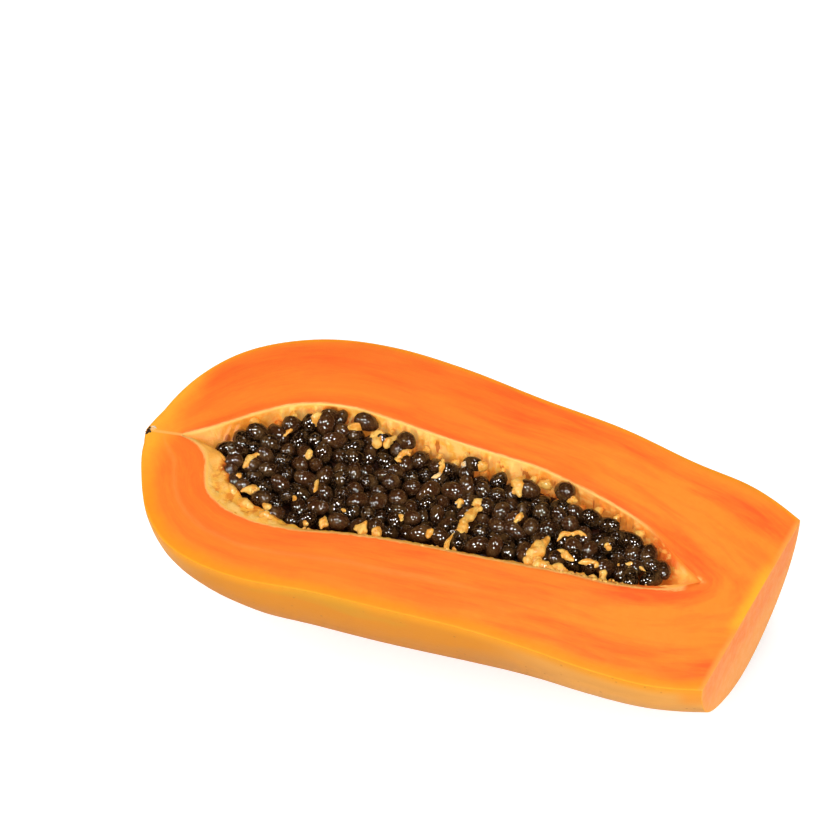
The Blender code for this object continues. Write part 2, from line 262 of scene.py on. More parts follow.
def middleLine(along):
    return length * np.interp(along, (0, cavity["start"], cavity["end"], 1.01), fruit["middleLine"])


def rimRough(along, half, side):
    # how ragged the cavity's rim is, the same for flesh and lining
    spot = np.stack((length * along, np.full_like(along, side * 0.05), np.zeros_like(along)), -1)
    rough = noiseAt(spot, 420) + 0.7 * noiseAt(spot, 1100, 4.0)
    patch = np.clip(0.5 + 1.6 * noiseAt(spot, 60, 9.0), 0.15, 1)
    amount = cavity["raggedRim"] * np.where(side < 0, 1.0, 0.45)
    return amount * rough * patch * np.minimum(1, half / 0.004)


def innerEdge(u, side):
    # the cavity's rim, and before and after it the line from tip to neck
    along = innerAlong(u)
    middle, half, _ = cavitySection(along)
    inside = (along > cavity["start"] + 1e-6) & (along < cavity["end"] - 1e-6)
    rim = middle + side * half + rimRough(along, half, side)
    return length * along, np.where(inside, rim, middleLine(along))


def gridPatch(across, down, place, finish):
    # a flat grid whose points go where place(u, v) says
    made = bmesh.new()
    bmesh.ops.create_grid(made, x_segments=across, y_segments=down, size=0.5)
    mesh = bpy.data.meshes.new("patch")
    made.to_mesh(mesh)
    made.free()
    points = np.empty(len(mesh.vertices) * 3)
    mesh.vertices.foreach_get("co", points)
    points = points.reshape(-1, 3) + 0.5
    u = np.round(points[:, 0] * across) / across
    v = np.round(points[:, 1] * down) / down
    mesh.vertices.foreach_set("co", place(u, v).ravel())
    mesh.polygons.foreach_set("material_index", np.full(len(mesh.polygons), finish))
    return mesh


def skinPlace(u, v):
    # lumps fade out at the cut, so that its edges stay true
    turn = math.pi * v
    p = skinPoint(polarAtKnife(turn) * u, turn)
    below = np.sin(turn)
    lump = fruit["lump"] * below * noiseAt(p * (1, 1, -1), 45)
    p[:, 2] -= lump * below
    return p


def fleshPlace(side):
    def place(u, v):
        turn = np.full_like(u, 0.0 if side > 0 else math.pi)
        outer = skinPoint(polarAtKnife(turn) * u, turn)
        x, y = innerEdge(u, side)
        last = u > 1 - 1e-9
        y = np.where(last, fruit["middleLine"][-1] * length, y)
        x = np.where(last, length + y * math.tan(slant), x)
        inner = np.stack((x, y, np.zeros_like(x)), -1)
        p = inner + (outer - inner) * v[:, None]
        held = np.minimum(1, 8 * v * (1 - v)) * (1 - u**30)  # no wave at the edges
        p[:, 2] = fruit["fleshWave"] * noiseAt(p, 70) * held
        return p

    return place


def neckPlace(u, v):
    # from the two straight edges at the top down to the skin
    outline = skinPlace(np.ones_like(u), u)
    corners = skinPlace(np.ones(2), np.array([0.0, 1.0]))
    middleY = fruit["middleLine"][-1] * length
    middle = np.array([length + middleY * math.tan(slant), middleY, 0.0])
    first = corners[0] + (middle - corners[0]) * np.minimum(1, 2 * u)[:, None]
    top = first + (corners[1] - middle) * np.maximum(0, 2 * u - 1)[:, None]
    return top + (outline - top) * v[:, None]


def wallTurn(v):
    # rows lie close near both rims and far apart under the seeds
    first, second = cavity["wallBreaks"]
    low, high = cavity["wallShares"]
    far = low * v / first
    deep = low + (v - first) / (second - first) * (high - low)
    near = 1 - (1 - high) * ((1 - v) / (1 - second)) ** 2
    return math.pi * np.where(v < first, far, np.where(v < second, deep, near))


def liningPlace(u, v):
    # u runs over the cavity's own steps only
    u = (startStep + u * (endStep - startStep)) / steps
    turn = wallTurn(v)
    along = innerAlong(u)
    middle, half, depth = cavitySection(along)
    x = along * length
    below = np.sin(turn)
    inner = rise(below, cavity["rimSmooth"] * 0.35, cavity["rimSmooth"])
    corner = cavity["corner"] * inner * np.cos(fruit["carpels"] * turn - math.pi / 2)
    spot = np.stack((x, turn * half * 0.7, np.full_like(x, 0.03)), -1)
    relief = cavity["lump"] * inner * noiseAt(spot, 95) * np.minimum(1, half / 0.012)
    across = (half * (1 + corner) + relief) * np.cos(turn)
    ends = rise(along, 0.17, -0.08) + rise(along, 0.79, 0.07)
    down = (depth * (1 + corner) + relief) * below ** (1 + cavity["lip"] * ends)

    # the pulp's ledge along the near rim, which widens to a shelf at the blossom end
    ledge = np.minimum(cavity["ledgeShare"] * pulpRoom(along - 0.07, -np.cos(turn)), 0.55 * half)
    ledge = ledge * rise(down, 0, cavity["ledgeDrop"] * (1 - 0.6 * np.minimum(ends, 1)))
    p = np.stack((x, middle + across + ledge * (1 - below**2), -down), -1)
    p[:, 1] += rimRough(along, half, np.where(v < 0.5, 1, -1)) * np.exp(-down / 0.0006)
    blossom = rise(along, 0.075, 0.03) * rise(along, 0.235, -0.11)
    blossom = blossom * np.clip(-1.3 * np.cos(turn), 0, 1) * rise(down, 0, 0.0022)
    p[:, 0] += cavity["shelfReach"] * blossom * (1 - below**2)

    # strands down the far wall, grains and lumps of pulp everywhere else
    wide = np.minimum(1, half / 0.008)
    farSide = np.clip(1.2 * np.cos(turn) + 0.1, 0, 1)
    wander = noiseAt(p * (1, 0.4, 0.25), 160, 2.0)
    wave = np.sin(2 * math.pi * (x / cavity["strandPitch"] + 0.9 * wander))
    ridge = np.clip(wave, -0.35, 1) * np.clip(0.4 + 1.6 * noiseAt(p, 110, 5.0), 0, 1)
    ridge = ridge * (1 - 0.7 * ends)
    grain = noiseAt(p, 900, 1.0) + 0.8 * noiseAt(p, 420, 7.0)
    lift = farSide * rise(down, 0.0009, 0.0012) * cavity["strandHeight"] * ridge
    lift = lift + (1 - 0.5 * farSide) * rise(down, 0, 0.0006) * cavity["grainHeight"] * grain
    shelf = rise(along, 0.33, -0.08) * rise(ledge, 0.0005, 0.003)
    lift = lift + shelf * cavity["shelfHeight"] * noiseAt(p, 260, 3.0)
    lift = lift * wide
    p[:, 1] -= lift * np.cos(turn)
    p[:, 2] += lift * np.where(farSide > 0.5, below, 0.9)

    # both rims and both points meet the flesh exactly
    sealed = (v < 1e-9) | (v > 1 - 1e-9) | (half < 1e-5)
    side = np.where(v < 0.5, 1, -1)
    for way in (1, -1):
        edgeX, edgeY = innerEdge(u, way)
        hold = sealed & (side == way)
        p[hold] = np.stack((edgeX, edgeY, np.zeros_like(edgeX)), -1)[hold]
    return p


def roundShape(sides, rings):
    # a ball whose poles lie on x, to be copied many times
    one = bmesh.new()
    level = Euler((0, math.pi / 2, 0)).to_matrix().to_4x4()
    bmesh.ops.create_uvsphere(one, u_segments=sides, v_segments=rings, radius=1, matrix=level)
    mesh = bpy.data.meshes.new("ball")
    one.to_mesh(mesh)
    one.free()
    return mesh


def addCopy(made, shape):
    first = len(made.verts)
    made.from_mesh(shape)
    made.verts.ensure_lookup_table()
    return made.verts[first:]


def joinPatches(patches, mergeWithin):
    made = bmesh.new()
    for mesh in patches:
        made.from_mesh(mesh)
        bpy.data.meshes.remove(mesh)
    bmesh.ops.remove_doubles(made, verts=made.verts, dist=mergeWithin)
    bmesh.ops.dissolve_degenerate(made, edges=made.edges, dist=1e-6)
    bmesh.ops.recalc_face_normals(made, faces=made.faces)
    return made


def finishPiece(made, name, materials, marks):
    # marks gives the piece's own attributes from its points in the fruit's frame
    mesh = bpy.data.meshes.new(name)
    made.to_mesh(mesh)
    made.free()
    points = np.empty(len(mesh.vertices) * 3)
    mesh.vertices.foreach_get("co", points)
    for key, values in marks(points.reshape(-1, 3)).items():
        attribute = mesh.attributes.new(key, "FLOAT", "POINT")
        attribute.data.foreach_set("value", np.asarray(values, np.float32))
    mesh.transform(lie)
    piece = bpy.data.objects.new(name, mesh)
    bpy.context.scene.collection.objects.link(piece)
    for material in materials:
        mesh.materials.append(material)
    mesh.shade_smooth()
    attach(piece, "root")
    print(name, "faces", len(mesh.polygons))
    return piece


# Colours and node helpers

def tone(red, green, blue):
    # a screen colour from 0 to 255 as the linear one that shaders take
    def linear(c):
        return c / 12.92 if c <= 0.04045 else ((c + 0.055) / 1.055) ** 2.4

    return (linear(red / 255), linear(green / 255), linear(blue / 255), 1.0)


def addNode(tree, kind, inputs=(), **settings):
    made = tree.nodes.new("ShaderNode" + kind)
    for key, value in settings.items():
        setattr(made, key, value)
    for socket, value in dict(inputs).items():
        if isinstance(value, bpy.types.NodeSocket):
            tree.links.new(value, made.inputs[socket])
        else:
            made.inputs[socket].default_value = value
    return made


def mark(tree, name):
    return addNode(tree, "Attribute", attribute_name=name).outputs["Fac"]


def maths(tree, operation, first, second=0.0, third=0.0):
    values = {0: first, 1: second, 2: third}
    return addNode(tree, "Math", values, operation=operation).outputs[0]


def times(tree, first, *others):
    for other in others:
        first = maths(tree, "MULTIPLY", first, other)
    return first


def timesPlus(tree, first, second, added):
    return maths(tree, "MULTIPLY_ADD", first, second, added)


def span(tree, value, low, high, outLow=0.0, outHigh=1.0):
    # a soft step from outLow where the value is low to outHigh where it is high
    inputs = {"Value": value, "From Min": low, "From Max": high}
    inputs.update({"To Min": outLow, "To Max": outHigh})
    return addNode(tree, "MapRange", inputs, interpolation_type="SMOOTHSTEP").outputs["Result"]


def blend(tree, amount, first, second):
    made = addNode(tree, "Mix", data_type="RGBA")
    for socket, value in ((0, amount), (6, first), (7, second)):
        if isinstance(value, bpy.types.NodeSocket):
            tree.links.new(value, made.inputs[socket])
        else:
            made.inputs[socket].default_value = value
    return made.outputs[2]


def ramp(tree, value, stops):
    made = addNode(tree, "ValToRGB", {"Fac": value})
    while len(made.color_ramp.elements) < len(stops):
        made.color_ramp.elements.new(0.5)
    for element, (position, colour) in zip(made.color_ramp.elements, stops):
        element.position = position
        element.color = colour
    return made.outputs["Color"]


def objectPlace(tree, scale=(1, 1, 1)):
    # Object coordinates, turned back so that x runs along the fruit
    place = addNode(tree, "TexCoord").outputs["Object"]
    tilt = (0, math.radians(-fruit["lieAngle"]), 0)
    inputs = {"Vector": place, "Rotation": tilt, "Scale": scale}
    return addNode(tree, "Mapping", inputs).outputs["Vector"]


def mottle(tree, vector, scale, detail=3.0, roughness=0.55, distortion=0.0):
    inputs = {"Vector": vector, "Scale": scale, "Detail": detail, "Roughness": roughness}
    inputs["Distortion"] = distortion
    return addNode(tree, "TexNoise", inputs).outputs["Fac"]


def newMaterial(name, roughness, extras):
    # extras are the shader's other values, by socket
    made = bpy.data.materials.new(name)
    made.use_nodes = True
    shader = made.node_tree.nodes["Principled BSDF"]
    shader.inputs["Roughness"].default_value = roughness
    for key, value in extras.items():
        shader.inputs[key].default_value = value
    return made, made.node_tree, shader


def makeGrainGroup():
    # fine wet grain that flesh, lining and pulp share: a height and a mask
    group = bpy.data.node_groups.new("wetGrain", "ShaderNodeTree")
    for name, value in (("Coarse", 300.0), ("Fine", 1200.0)):
        socket = group.interface.new_socket(name, in_out="INPUT", socket_type="NodeSocketFloat")
        socket.default_value = value
    group.interface.new_socket("Place", in_out="INPUT", socket_type="NodeSocketVector")
    group.interface.new_socket("Height", in_out="OUTPUT", socket_type="NodeSocketFloat")
    group.interface.new_socket("Mask", in_out="OUTPUT", socket_type="NodeSocketFloat")
    start = group.nodes.new("NodeGroupInput")
    end = group.nodes.new("NodeGroupOutput")
    coarse = mottle(group, start.outputs["Place"], start.outputs["Coarse"], 3.0, 0.6)
    fine = mottle(group, start.outputs["Place"], start.outputs["Fine"], 2.0, 0.5)
    height = timesPlus(group, fine, 0.35, coarse)
    group.links.new(height, end.inputs["Height"])
    group.links.new(span(group, coarse, 0.35, 0.65), end.inputs["Mask"])
    return group


grainGroup = makeGrainGroup()


def addGrain(tree, place, coarse, fine):
    made = tree.nodes.new("ShaderNodeGroup")
    made.node_tree = grainGroup
    made.inputs["Coarse"].default_value = coarse
    made.inputs["Fine"].default_value = fine
    tree.links.new(place, made.inputs["Place"])
    return made.outputs["Height"], made.outputs["Mask"]


def addBump(tree, shader, height, distance, strength=1.0):
    bump = addNode(tree, "Bump", {"Height": height, "Distance": distance, "Strength": strength})
    tree.links.new(bump.outputs["Normal"], shader.inputs["Normal"])


fleshLook = {
    "light": tone(254, 146, 44),
    "red": tone(253, 101, 34),
    "yellow": tone(254, 151, 28),
    "edge": tone(254, 172, 40),
    "vein": tone(255, 168, 86),
    "rim": tone(253, 190, 104),
    "blossom": tone(254, 178, 48),
    "glow": tone(255, 180, 44),
    "neck": tone(252, 140, 66),
    "neckPale": tone(253, 168, 90),
    "corner": tone(253, 164, 72),
    # how red the flesh is, from the skin (0) to the cavity (1)
    "farRed": ((0.04, 0.50), (0.20, 0.80), (0.42, 0.62), (0.62, 0.40), (0.80, 0.38), (0.92, 0.68)),
    "nearRed": ((0.10, 0.15), (0.32, 0.42), (0.50, 0.45), (0.76, 0.58), (0.92, 0.64)),
    "neckRed": ((0.06, 0.15), (0.21, 0.58), (0.38, 0.14), (0.62, 0.06), (0.78, 0.32), (0.92, 0.72)),
}


def greys(stops):
    # masks as the grey colours that a ramp takes
    return [(place, (value, value, value, 1)) for place, value in stops]


def makeCutFlesh():
    made, tree, shader = newMaterial("cutFlesh", 0.42, {"Specular IOR Level": 0.07})
    look = fleshLook
    place = objectPlace(tree)
    soft = mottle(tree, place, 55.0, 2.0)
    skin, rim = mark(tree, "fromSkin"), mark(tree, "fromCavity")
    along, near = mark(tree, "alongShare"), mark(tree, "nearness")
    wander = timesPlus(tree, soft, 0.16, -0.08)
    depth = maths(tree, "DIVIDE", skin, maths(tree, "ADD", skin, maths(tree, "ADD", rim, 0.01)))
    ring = maths(tree, "ADD", depth, wander)
    nearMask = span(tree, near, -0.25, 0.35)

    # redness across the flesh, and streaks along the fruit that grow stronger towards the neck
    farRed, nearRed, neckRed = [
        ramp(tree, ring, greys(look[name])) for name in ("farRed", "nearRed", "neckRed")
    ]
    redness = blend(tree, nearMask, farRed, nearRed)
    redness = blend(tree, span(tree, along, 0.50, 0.84), redness, neckRed)
    flow = addNode(tree, "CombineXYZ", {
        "X": times(tree, along, 3.2),
        "Y": times(tree, depth, 3.4),
        "Z": times(tree, near, 1.6),
    }).outputs[0]
    band = mottle(tree, flow, 2.1, 4.0, 0.6, 0.3)
    fibre = mottle(tree, flow, 14.0, 3.0, 0.65)
    swing = times(tree, maths(tree, "SUBTRACT", band, 0.5), span(tree, along, 0.2, 0.8, 1.1, 2.4))
    swing = timesPlus(tree, maths(tree, "SUBTRACT", fibre, 0.5), 0.35, swing)
    redness = maths(tree, "MINIMUM", maths(tree, "ADD", redness, swing), 1.0)
    colour = blend(tree, maths(tree, "MAXIMUM", redness, 0.0), look["light"], look["red"])

    # yellow towards the skin, in a wide band on the near side, and at the blossom end
    width = span(tree, nearMask, 0.0, 1.0, 2.2, 6.8)
    share = maths(tree, "SUBTRACT", maths(tree, "DIVIDE", skin, width), 0.35)
    share = timesPlus(tree, soft, 0.7, share)
    colour = blend(tree, span(tree, share, 1.0, 0.2), colour, look["yellow"])
    tipShare = timesPlus(tree, soft, 0.03, along)
    colour = blend(tree, span(tree, tipShare, 0.075, 0.018, 0.0, 0.9), colour, look["blossom"])

    # a pale vein halfway through the near side, and the line from tip to cavity
    middle = timesPlus(tree, soft, 0.09, span(tree, along, 0.04, 0.24, 0.47, 0.51))
    off = maths(tree, "ABSOLUTE", maths(tree, "SUBTRACT", depth, middle))
    vein = times(
        tree, span(tree, off, 0.07, 0.0, 0.0, 0.24), nearMask, span(tree, along, 0.66, 0.54),
        span(tree, fibre, 0.3, 0.55, 0.3, 1.0),
    )
    colour = blend(tree, vein, colour, look["vein"])
    tipLine = span(tree, mark(tree, "fromAxis"), 1.0, 0.2)
    tipLine = times(tree, tipLine, span(tree, along, 0.06, 0.05), 0.7)
    colour = blend(tree, tipLine, colour, look["rim"])

    # cream along the cavity's rim, none on the far side near the neck, and fibres at the end
    reach = span(tree, mark(tree, "neckFibre"), 0.0, 1.0, 1.3, 3.4)
    fringe = timesPlus(tree, fibre, -1.4, maths(tree, "DIVIDE", rim, reach))
    fringe = span(tree, fringe, 0.1, -0.5, 0.0, 0.9)
    fringe = maths(tree, "MAXIMUM", fringe, span(tree, rim, 0.8, 0.3, 0.0, 0.8))
    kept = span(tree, mark(tree, "neckRim"), 0.2, 0.8)
    kept = maths(tree, "MAXIMUM", span(tree, along, 0.84, 0.76), kept)
    colour = blend(tree, times(tree, fringe, kept), colour, look["rim"])
    # paler along the rounded edge by the skin: a painted highlight on that edge
    colour = blend(tree, span(tree, skin, 1.0, 0.1, 0.0, 0.85), colour, look["edge"])

    # light that comes through the corner at the neck's cut
    nearEnd = span(tree, timesPlus(tree, soft, 3.0, mark(tree, "fromEnd")), 7.0, 2.0)
    window = times(tree, span(tree, near, -0.62, -0.12), span(tree, near, 0.50, 0.26))
    colour = blend(tree, times(tree, nearEnd, window), colour, look["glow"])
    cornerMask = span(tree, timesPlus(tree, soft, 1.5, mark(tree, "fromEnd")), 3.0, 0.8, 0.0, 0.8)
    cornerMask = times(tree, cornerMask, maths(tree, "SUBTRACT", 1.0, window))
    colour = blend(tree, cornerMask, colour, look["corner"])

    height, mask = addGrain(tree, place, 420.0, 1500.0)
    colour = blend(tree, times(tree, mask, 0.08), colour, look["red"])
    tree.links.new(colour, shader.inputs["Base Color"])
    tree.links.new(span(tree, mask, 0.0, 1.0, 0.36, 0.5), shader.inputs["Roughness"])
    addBump(tree, shader, timesPlus(tree, fibre, 0.8, height), 0.00012, 0.5)
    return made


def makeNeckFlesh():
    made, tree, shader = newMaterial("neckFlesh", 0.42, {"Specular IOR Level": 0.08})
    look = fleshLook
    place = objectPlace(tree)
    skin, down = mark(tree, "fromSkin"), mark(tree, "below")
    spots = mottle(tree, place, 120.0, 3.0)
    # the neck's cut is salmon, paler lower down; both tones hold some painted sheen, a whitish haze
    # over the flesh's own colour
    low = span(tree, timesPlus(tree, spots, 14.0, down), 14.0, 34.0)
    colour = blend(tree, low, look["neck"], look["neckPale"])
    colour = blend(tree, span(tree, spots, 0.4, 0.66, 0.0, 0.3), colour, look["neckPale"])
    colour = blend(tree, span(tree, skin, 5.0, 1.0, 0.0, 0.55), colour, look["corner"])
    colour = blend(tree, span(tree, down, 2.4, 0.3, 0.0, 0.9), colour, look["corner"])
    # paler along the rounded edge by the skin: a painted highlight on that edge
    colour = blend(tree, span(tree, skin, 1.0, 0.1, 0.0, 0.9), colour, look["edge"])
    height, mask = addGrain(tree, place, 380.0, 1500.0)
    colour = blend(tree, times(tree, mask, 0.06), colour, look["light"])
    tree.links.new(colour, shader.inputs["Base Color"])
    tree.links.new(span(tree, mask, 0.0, 1.0, 0.36, 0.5), shader.inputs["Roughness"])
    addBump(tree, shader, height, 0.0001, 0.3)
    return made


skinLook = {
    "top": tone(236, 152, 40),
    "side": tone(222, 140, 40),
    "pale": tone(236, 164, 76),
    "dull": tone(208, 142, 74),
    "speck": tone(184, 112, 44),
    "green": tone(206, 160, 50),
    "patch": tone(238, 146, 42),
}


def makeSkin():
    made, tree, shader = newMaterial("papayaSkin", 0.42, {"Specular IOR Level": 0.08})
    look = skinLook
    place = objectPlace(tree)
    streaked = objectPlace(tree, (0.35, 1.0, 1.0))
    down = mark(tree, "below")
    patches = mottle(tree, streaked, 42.0, 4.0, 0.6, 0.4)
    ends = maths(tree, "ABSOLUTE", maths(tree, "SUBTRACT", mark(tree, "alongShare"), 0.42))
    ends = span(tree, timesPlus(tree, patches, 0.12, ends), 0.27, 0.42)
    colour = blend(tree, ends, look["side"], look["pale"])
    colour = blend(tree, span(tree, down, 0.4, 5.0), look["top"], colour)
    dull = times(tree, span(tree, patches, 0.46, 0.66), span(tree, down, 2.0, 16.0, 0.15, 0.7))
    colour = blend(tree, dull, colour, look["dull"])
    colour = blend(tree, span(tree, patches, 0.42, 0.28, 0.0, 0.4), colour, look["green"])
    dots = addNode(tree, "TexVoronoi", {"Vector": place, "Scale": 300.0, "Randomness": 1.0})
    few = span(tree, mottle(tree, place, 160.0, 2.0), 0.5, 0.64)
    speck = times(tree, span(tree, dots.outputs["Distance"], 0.2, 0.08), few, 0.6)
    colour = blend(tree, speck, colour, look["speck"])
    corner = timesPlus(tree, patches, 6.0, mark(tree, "fromEnd"))
    corner = times(tree, span(tree, corner, 13.0, 7.0), span(tree, down, 13.0, 6.0, 0.0, 0.8))
    colour = blend(tree, corner, colour, look["patch"])
    colour = blend(tree, span(tree, mark(tree, "fromTip"), 2.4, 1.0), colour, look["speck"])
    tree.links.new(colour, shader.inputs["Base Color"])
    tree.links.new(span(tree, patches, 0.3, 0.7, 0.34, 0.5), shader.inputs["Roughness"])
    pores = mottle(tree, place, 700.0, 2.0)
    addBump(tree, shader, timesPlus(tree, patches, 2.0, pores), 0.00015, 0.5)
    return made


liningLook = {
    "cream": tone(253, 198, 110),
    "amber": tone(251, 180, 72),
    "shelf": tone(252, 180, 66),
    "shelfRim": tone(255, 190, 84),
    "deep": tone(206, 100, 26),
    "stainAndShade": tone(226, 130, 34),
    "funnel": tone(246, 166, 66),
    "neckEnd": tone(226, 138, 54),
    "neckRed": tone(226, 96, 30),
    "neckCream": tone(246, 172, 84),
    "tongue": tone(252, 168, 74),
    "fleshEnd": tone(254, 126, 42),
    "slitShade": tone(180, 78, 20),
}


def makeLining():
    made, tree, shader = newMaterial("cavityLining", 0.42, {
        "Specular IOR Level": 0.14,
        "Subsurface Weight": 0.3,
        "Subsurface Radius": (1.0, 0.5, 0.2),
        "Subsurface Scale": 0.0012,
        "Emission Strength": 0.3,  # light that comes through the far wall
    })
    look = liningLook
    place = objectPlace(tree)
    down, near, along = mark(tree, "below"), mark(tree, "nearness"), mark(tree, "alongShare")
    lumps = mottle(tree, place, 230.0, 3.0, 0.6)
    broad = mottle(tree, place, 130.0, 3.0, 0.6)
    fine = mottle(tree, place, 560.0, 3.0, 0.6)
    colour = blend(tree, span(tree, lumps, 0.44, 0.62), look["cream"], look["amber"])
    nearMask = span(tree, near, -0.1, 0.3)
    speckled = blend(tree, span(tree, fine, 0.46, 0.62), look["shelf"], look["amber"])
    patchy = timesPlus(tree, maths(tree, "SUBTRACT", fine, 0.5), 0.8, lumps)
    inwards = span(tree, timesPlus(tree, broad, 2.5, mark(tree, "fromCavity")), 2.2, 4.2)
    spots = times(tree, span(tree, patchy, 0.48, 0.60, 0.0, 0.95), inwards)
    speckled = blend(tree, spots, speckled, look["stainAndShade"])
    colour = blend(tree, times(tree, nearMask, span(tree, down, 0.1, 0.9)), colour, speckled)
    funnel = times(tree, span(tree, along, 0.20, 0.12), span(tree, near, 0.35, 0.0))
    colour = blend(tree, funnel, colour, look["funnel"])
    blush = times(tree, span(tree, along, 0.085, 0.12), span(tree, along, 0.18, 0.14))
    blush = times(tree, blush, span(tree, near, 0.0, -0.3, 0.0, 0.75))
    blush = times(tree, blush, span(tree, broad, 0.4, 0.52, 0.4, 1.0))
    colour = blend(tree, blush, colour, look["stainAndShade"])

    # orange towards the neck end, with cream fibres drawn out along the fruit
    fibres = mottle(tree, objectPlace(tree, (0.2, 1.0, 1.0)), 420.0, 3.0, 0.6)
    drawn = blend(tree, span(tree, along, 0.80, 0.84), look["neckEnd"], look["neckRed"])
    drawn = blend(tree, span(tree, along, 0.86, 0.88), drawn, look["tongue"])
    drawn = blend(tree, span(tree, fibres, 0.50, 0.64), drawn, look["neckCream"])
    towardsNeck = timesPlus(tree, lumps, 0.2, along)
    colour = blend(tree, span(tree, towardsNeck, 0.62, 0.82, 0.0, 0.95), colour, drawn)
    # darker orange low in the cavity: painted shade
    colour = blend(tree, span(tree, down, 7.0, 14.0, 0.0, 0.9), colour, look["deep"])
    stains = times(tree, span(tree, broad, 0.50, 0.58), span(tree, down, 0.8, 2.0))
    stains = times(tree, stains, span(tree, near, -0.1, 0.3, 0.35, 0.9))
    colour = blend(tree, stains, colour, look["stainAndShade"])
    # dark slits low on the far wall: painted shade between its lobes
    slitShadeMask = mottle(tree, objectPlace(tree, (1.0, 0.3, 0.3)), 300.0, 2.0, 0.6)
    wall = times(tree, span(tree, near, 0.4, -0.2), span(tree, down, 2.0, 4.0, 0.0, 0.75))
    colour = blend(tree, times(tree, span(tree, slitShadeMask, 0.59, 0.64), wall), colour, look["slitShade"])

    # around every seed that touches the wall: a juice stain, and closer in painted contact shadow
    socket = timesPlus(tree, fine, 1.6, mark(tree, "fromSeed"))
    colour = blend(tree, span(tree, socket, 2.3, 1.2, 0.0, 0.85), colour, look["stainAndShade"])
    colour = blend(tree, span(tree, socket, 1.4, 0.5, 0.0, 0.9), colour, look["slitShade"])

    # pale rim, which takes the flesh's orange on the far side towards the neck
    rim = span(tree, mark(tree, "fromCavity"), 1.4, 0.4, 0.0, 0.8)
    rim = times(tree, rim, span(tree, along, 0.86, 0.76))
    colour = blend(tree, rim, colour, blend(tree, nearMask, look["cream"], look["shelfRim"]))
    farRim = times(tree, span(tree, down, 2.2, 0.3), span(tree, along, 0.80, 0.86))
    farRim = times(tree, farRim, span(tree, near, 0.12, -0.02))
    colour = blend(tree, farRim, colour, look["fleshEnd"])
    height, mask = addGrain(tree, place, 700.0, 1900.0)
    tree.links.new(colour, shader.inputs["Base Color"])
    lit = maths(tree, "MAXIMUM", span(tree, near, 0.1, -0.35), span(tree, along, 0.80, 0.86))
    tree.links.new(blend(tree, lit, (0, 0, 0, 1), colour), shader.inputs["Emission Color"])
    tree.links.new(span(tree, mask, 0.0, 1.0, 0.32, 0.5), shader.inputs["Roughness"])
    addBump(tree, shader, timesPlus(tree, fine, 1.5, height), 0.00022, 0.5)
    return made


seedLook = {
    "dark": tone(18, 7, 3),
    "brown": tone(72, 39, 18),
    "olive": tone(94, 65, 34),
    "dust": tone(122, 90, 57),
    "under": tone(10, 4, 2),
}


def makeSeedCoat():
    made, tree, shader = newMaterial("seedCoat", 0.5, {
        "Specular IOR Level": 0.0,
        "Coat Weight": 1.0,
        "Coat Roughness": 0.03,
        "Coat IOR": 1.45,
    })
    look = seedLook
    place = objectPlace(tree)
    own = mark(tree, "seedTone")
    wrinkle = mottle(tree, place, 620.0, 1.0, 0.5)
    cloud = mottle(tree, place, 260.0, 2.0)
    dust = mottle(tree, place, 1500.0, 2.0)
    colour = blend(tree, span(tree, own, 0.0, 1.0, 0.0, 0.8), look["dark"], look["brown"])
    colour = blend(tree, span(tree, cloud, 0.46, 0.66, 0.0, 0.6), colour, look["olive"])
    colour = blend(tree, span(tree, dust, 0.5, 0.68, 0.0, 0.4), colour, look["dust"])
    # the deeper a seed lies below the heap's top, the darker: painted shade between the seeds,
    # partly their wetness
    colour = blend(tree, span(tree, mark(tree, "sunk"), 2.5, 8.0, 0.0, 0.95), colour, look["under"])
    tree.links.new(colour, shader.inputs["Base Color"])
    tree.links.new(span(tree, cloud, 0.3, 0.7, 0.36, 0.55), shader.inputs["Roughness"])
    addBump(tree, shader, wrinkle, 0.00022, 1.0)
    return made


pulpLook = {
    "yellow": tone(236, 184, 90),
    "orange": tone(228, 153, 56),
    "cream": tone(250, 200, 130),
    "pale": tone(226, 206, 176),
    # the next three are painted shade: the dark sheet under the seeds in two tones, and pulp that
    # lies low
    "under": tone(70, 28, 8),
    "bed": tone(30, 12, 5),
    "deep": tone(206, 104, 26),
    "scar": tone(58, 34, 22),
    "scarDark": tone(26, 14, 10),
}


def makePulp(name, first, second, wetAndGlow):
    look = pulpLook
    made, tree, shader = newMaterial(name, 0.4, {
        "Specular IOR Level": 0.12,
        "Coat Weight": wetAndGlow,
        "Coat Roughness": 0.12,
        "Emission Strength": 0.4 * wetAndGlow,
    })
    place = objectPlace(tree)
    height, mask = addGrain(tree, place, 650.0, 1900.0)
    broad = mottle(tree, place, 330.0, 3.0)
    colour = blend(tree, span(tree, broad, 0.42, 0.60), look[first], look[second])
    if wetAndGlow:
        # the lower the pulp lies below the heap's top, the darker orange: painted shade
        sunk = span(tree, mark(tree, "sunk"), 1.5, 6.0, 0.0, 0.9)
        colour = blend(tree, sunk, colour, look["deep"])
    tree.links.new(colour, shader.inputs["Base Color"])
    # the pulp glows in its own colour: painted light that stands for light coming through it
    tree.links.new(colour, shader.inputs["Emission Color"])
    tree.links.new(span(tree, mask, 0.0, 1.0, 0.32, 0.5), shader.inputs["Roughness"])
    addBump(tree, shader, height, 0.0005, 0.7)
    return made


# The half itself: skin, cut faces and the cavity's wall in one closed mesh

def nearestDistance(points, targets):
    tree = kdtree.KDTree(len(targets))
    for index, target in enumerate(targets):
        tree.insert(target, index)
    tree.balance()
    return np.array([tree.find(p)[2] for p in points])


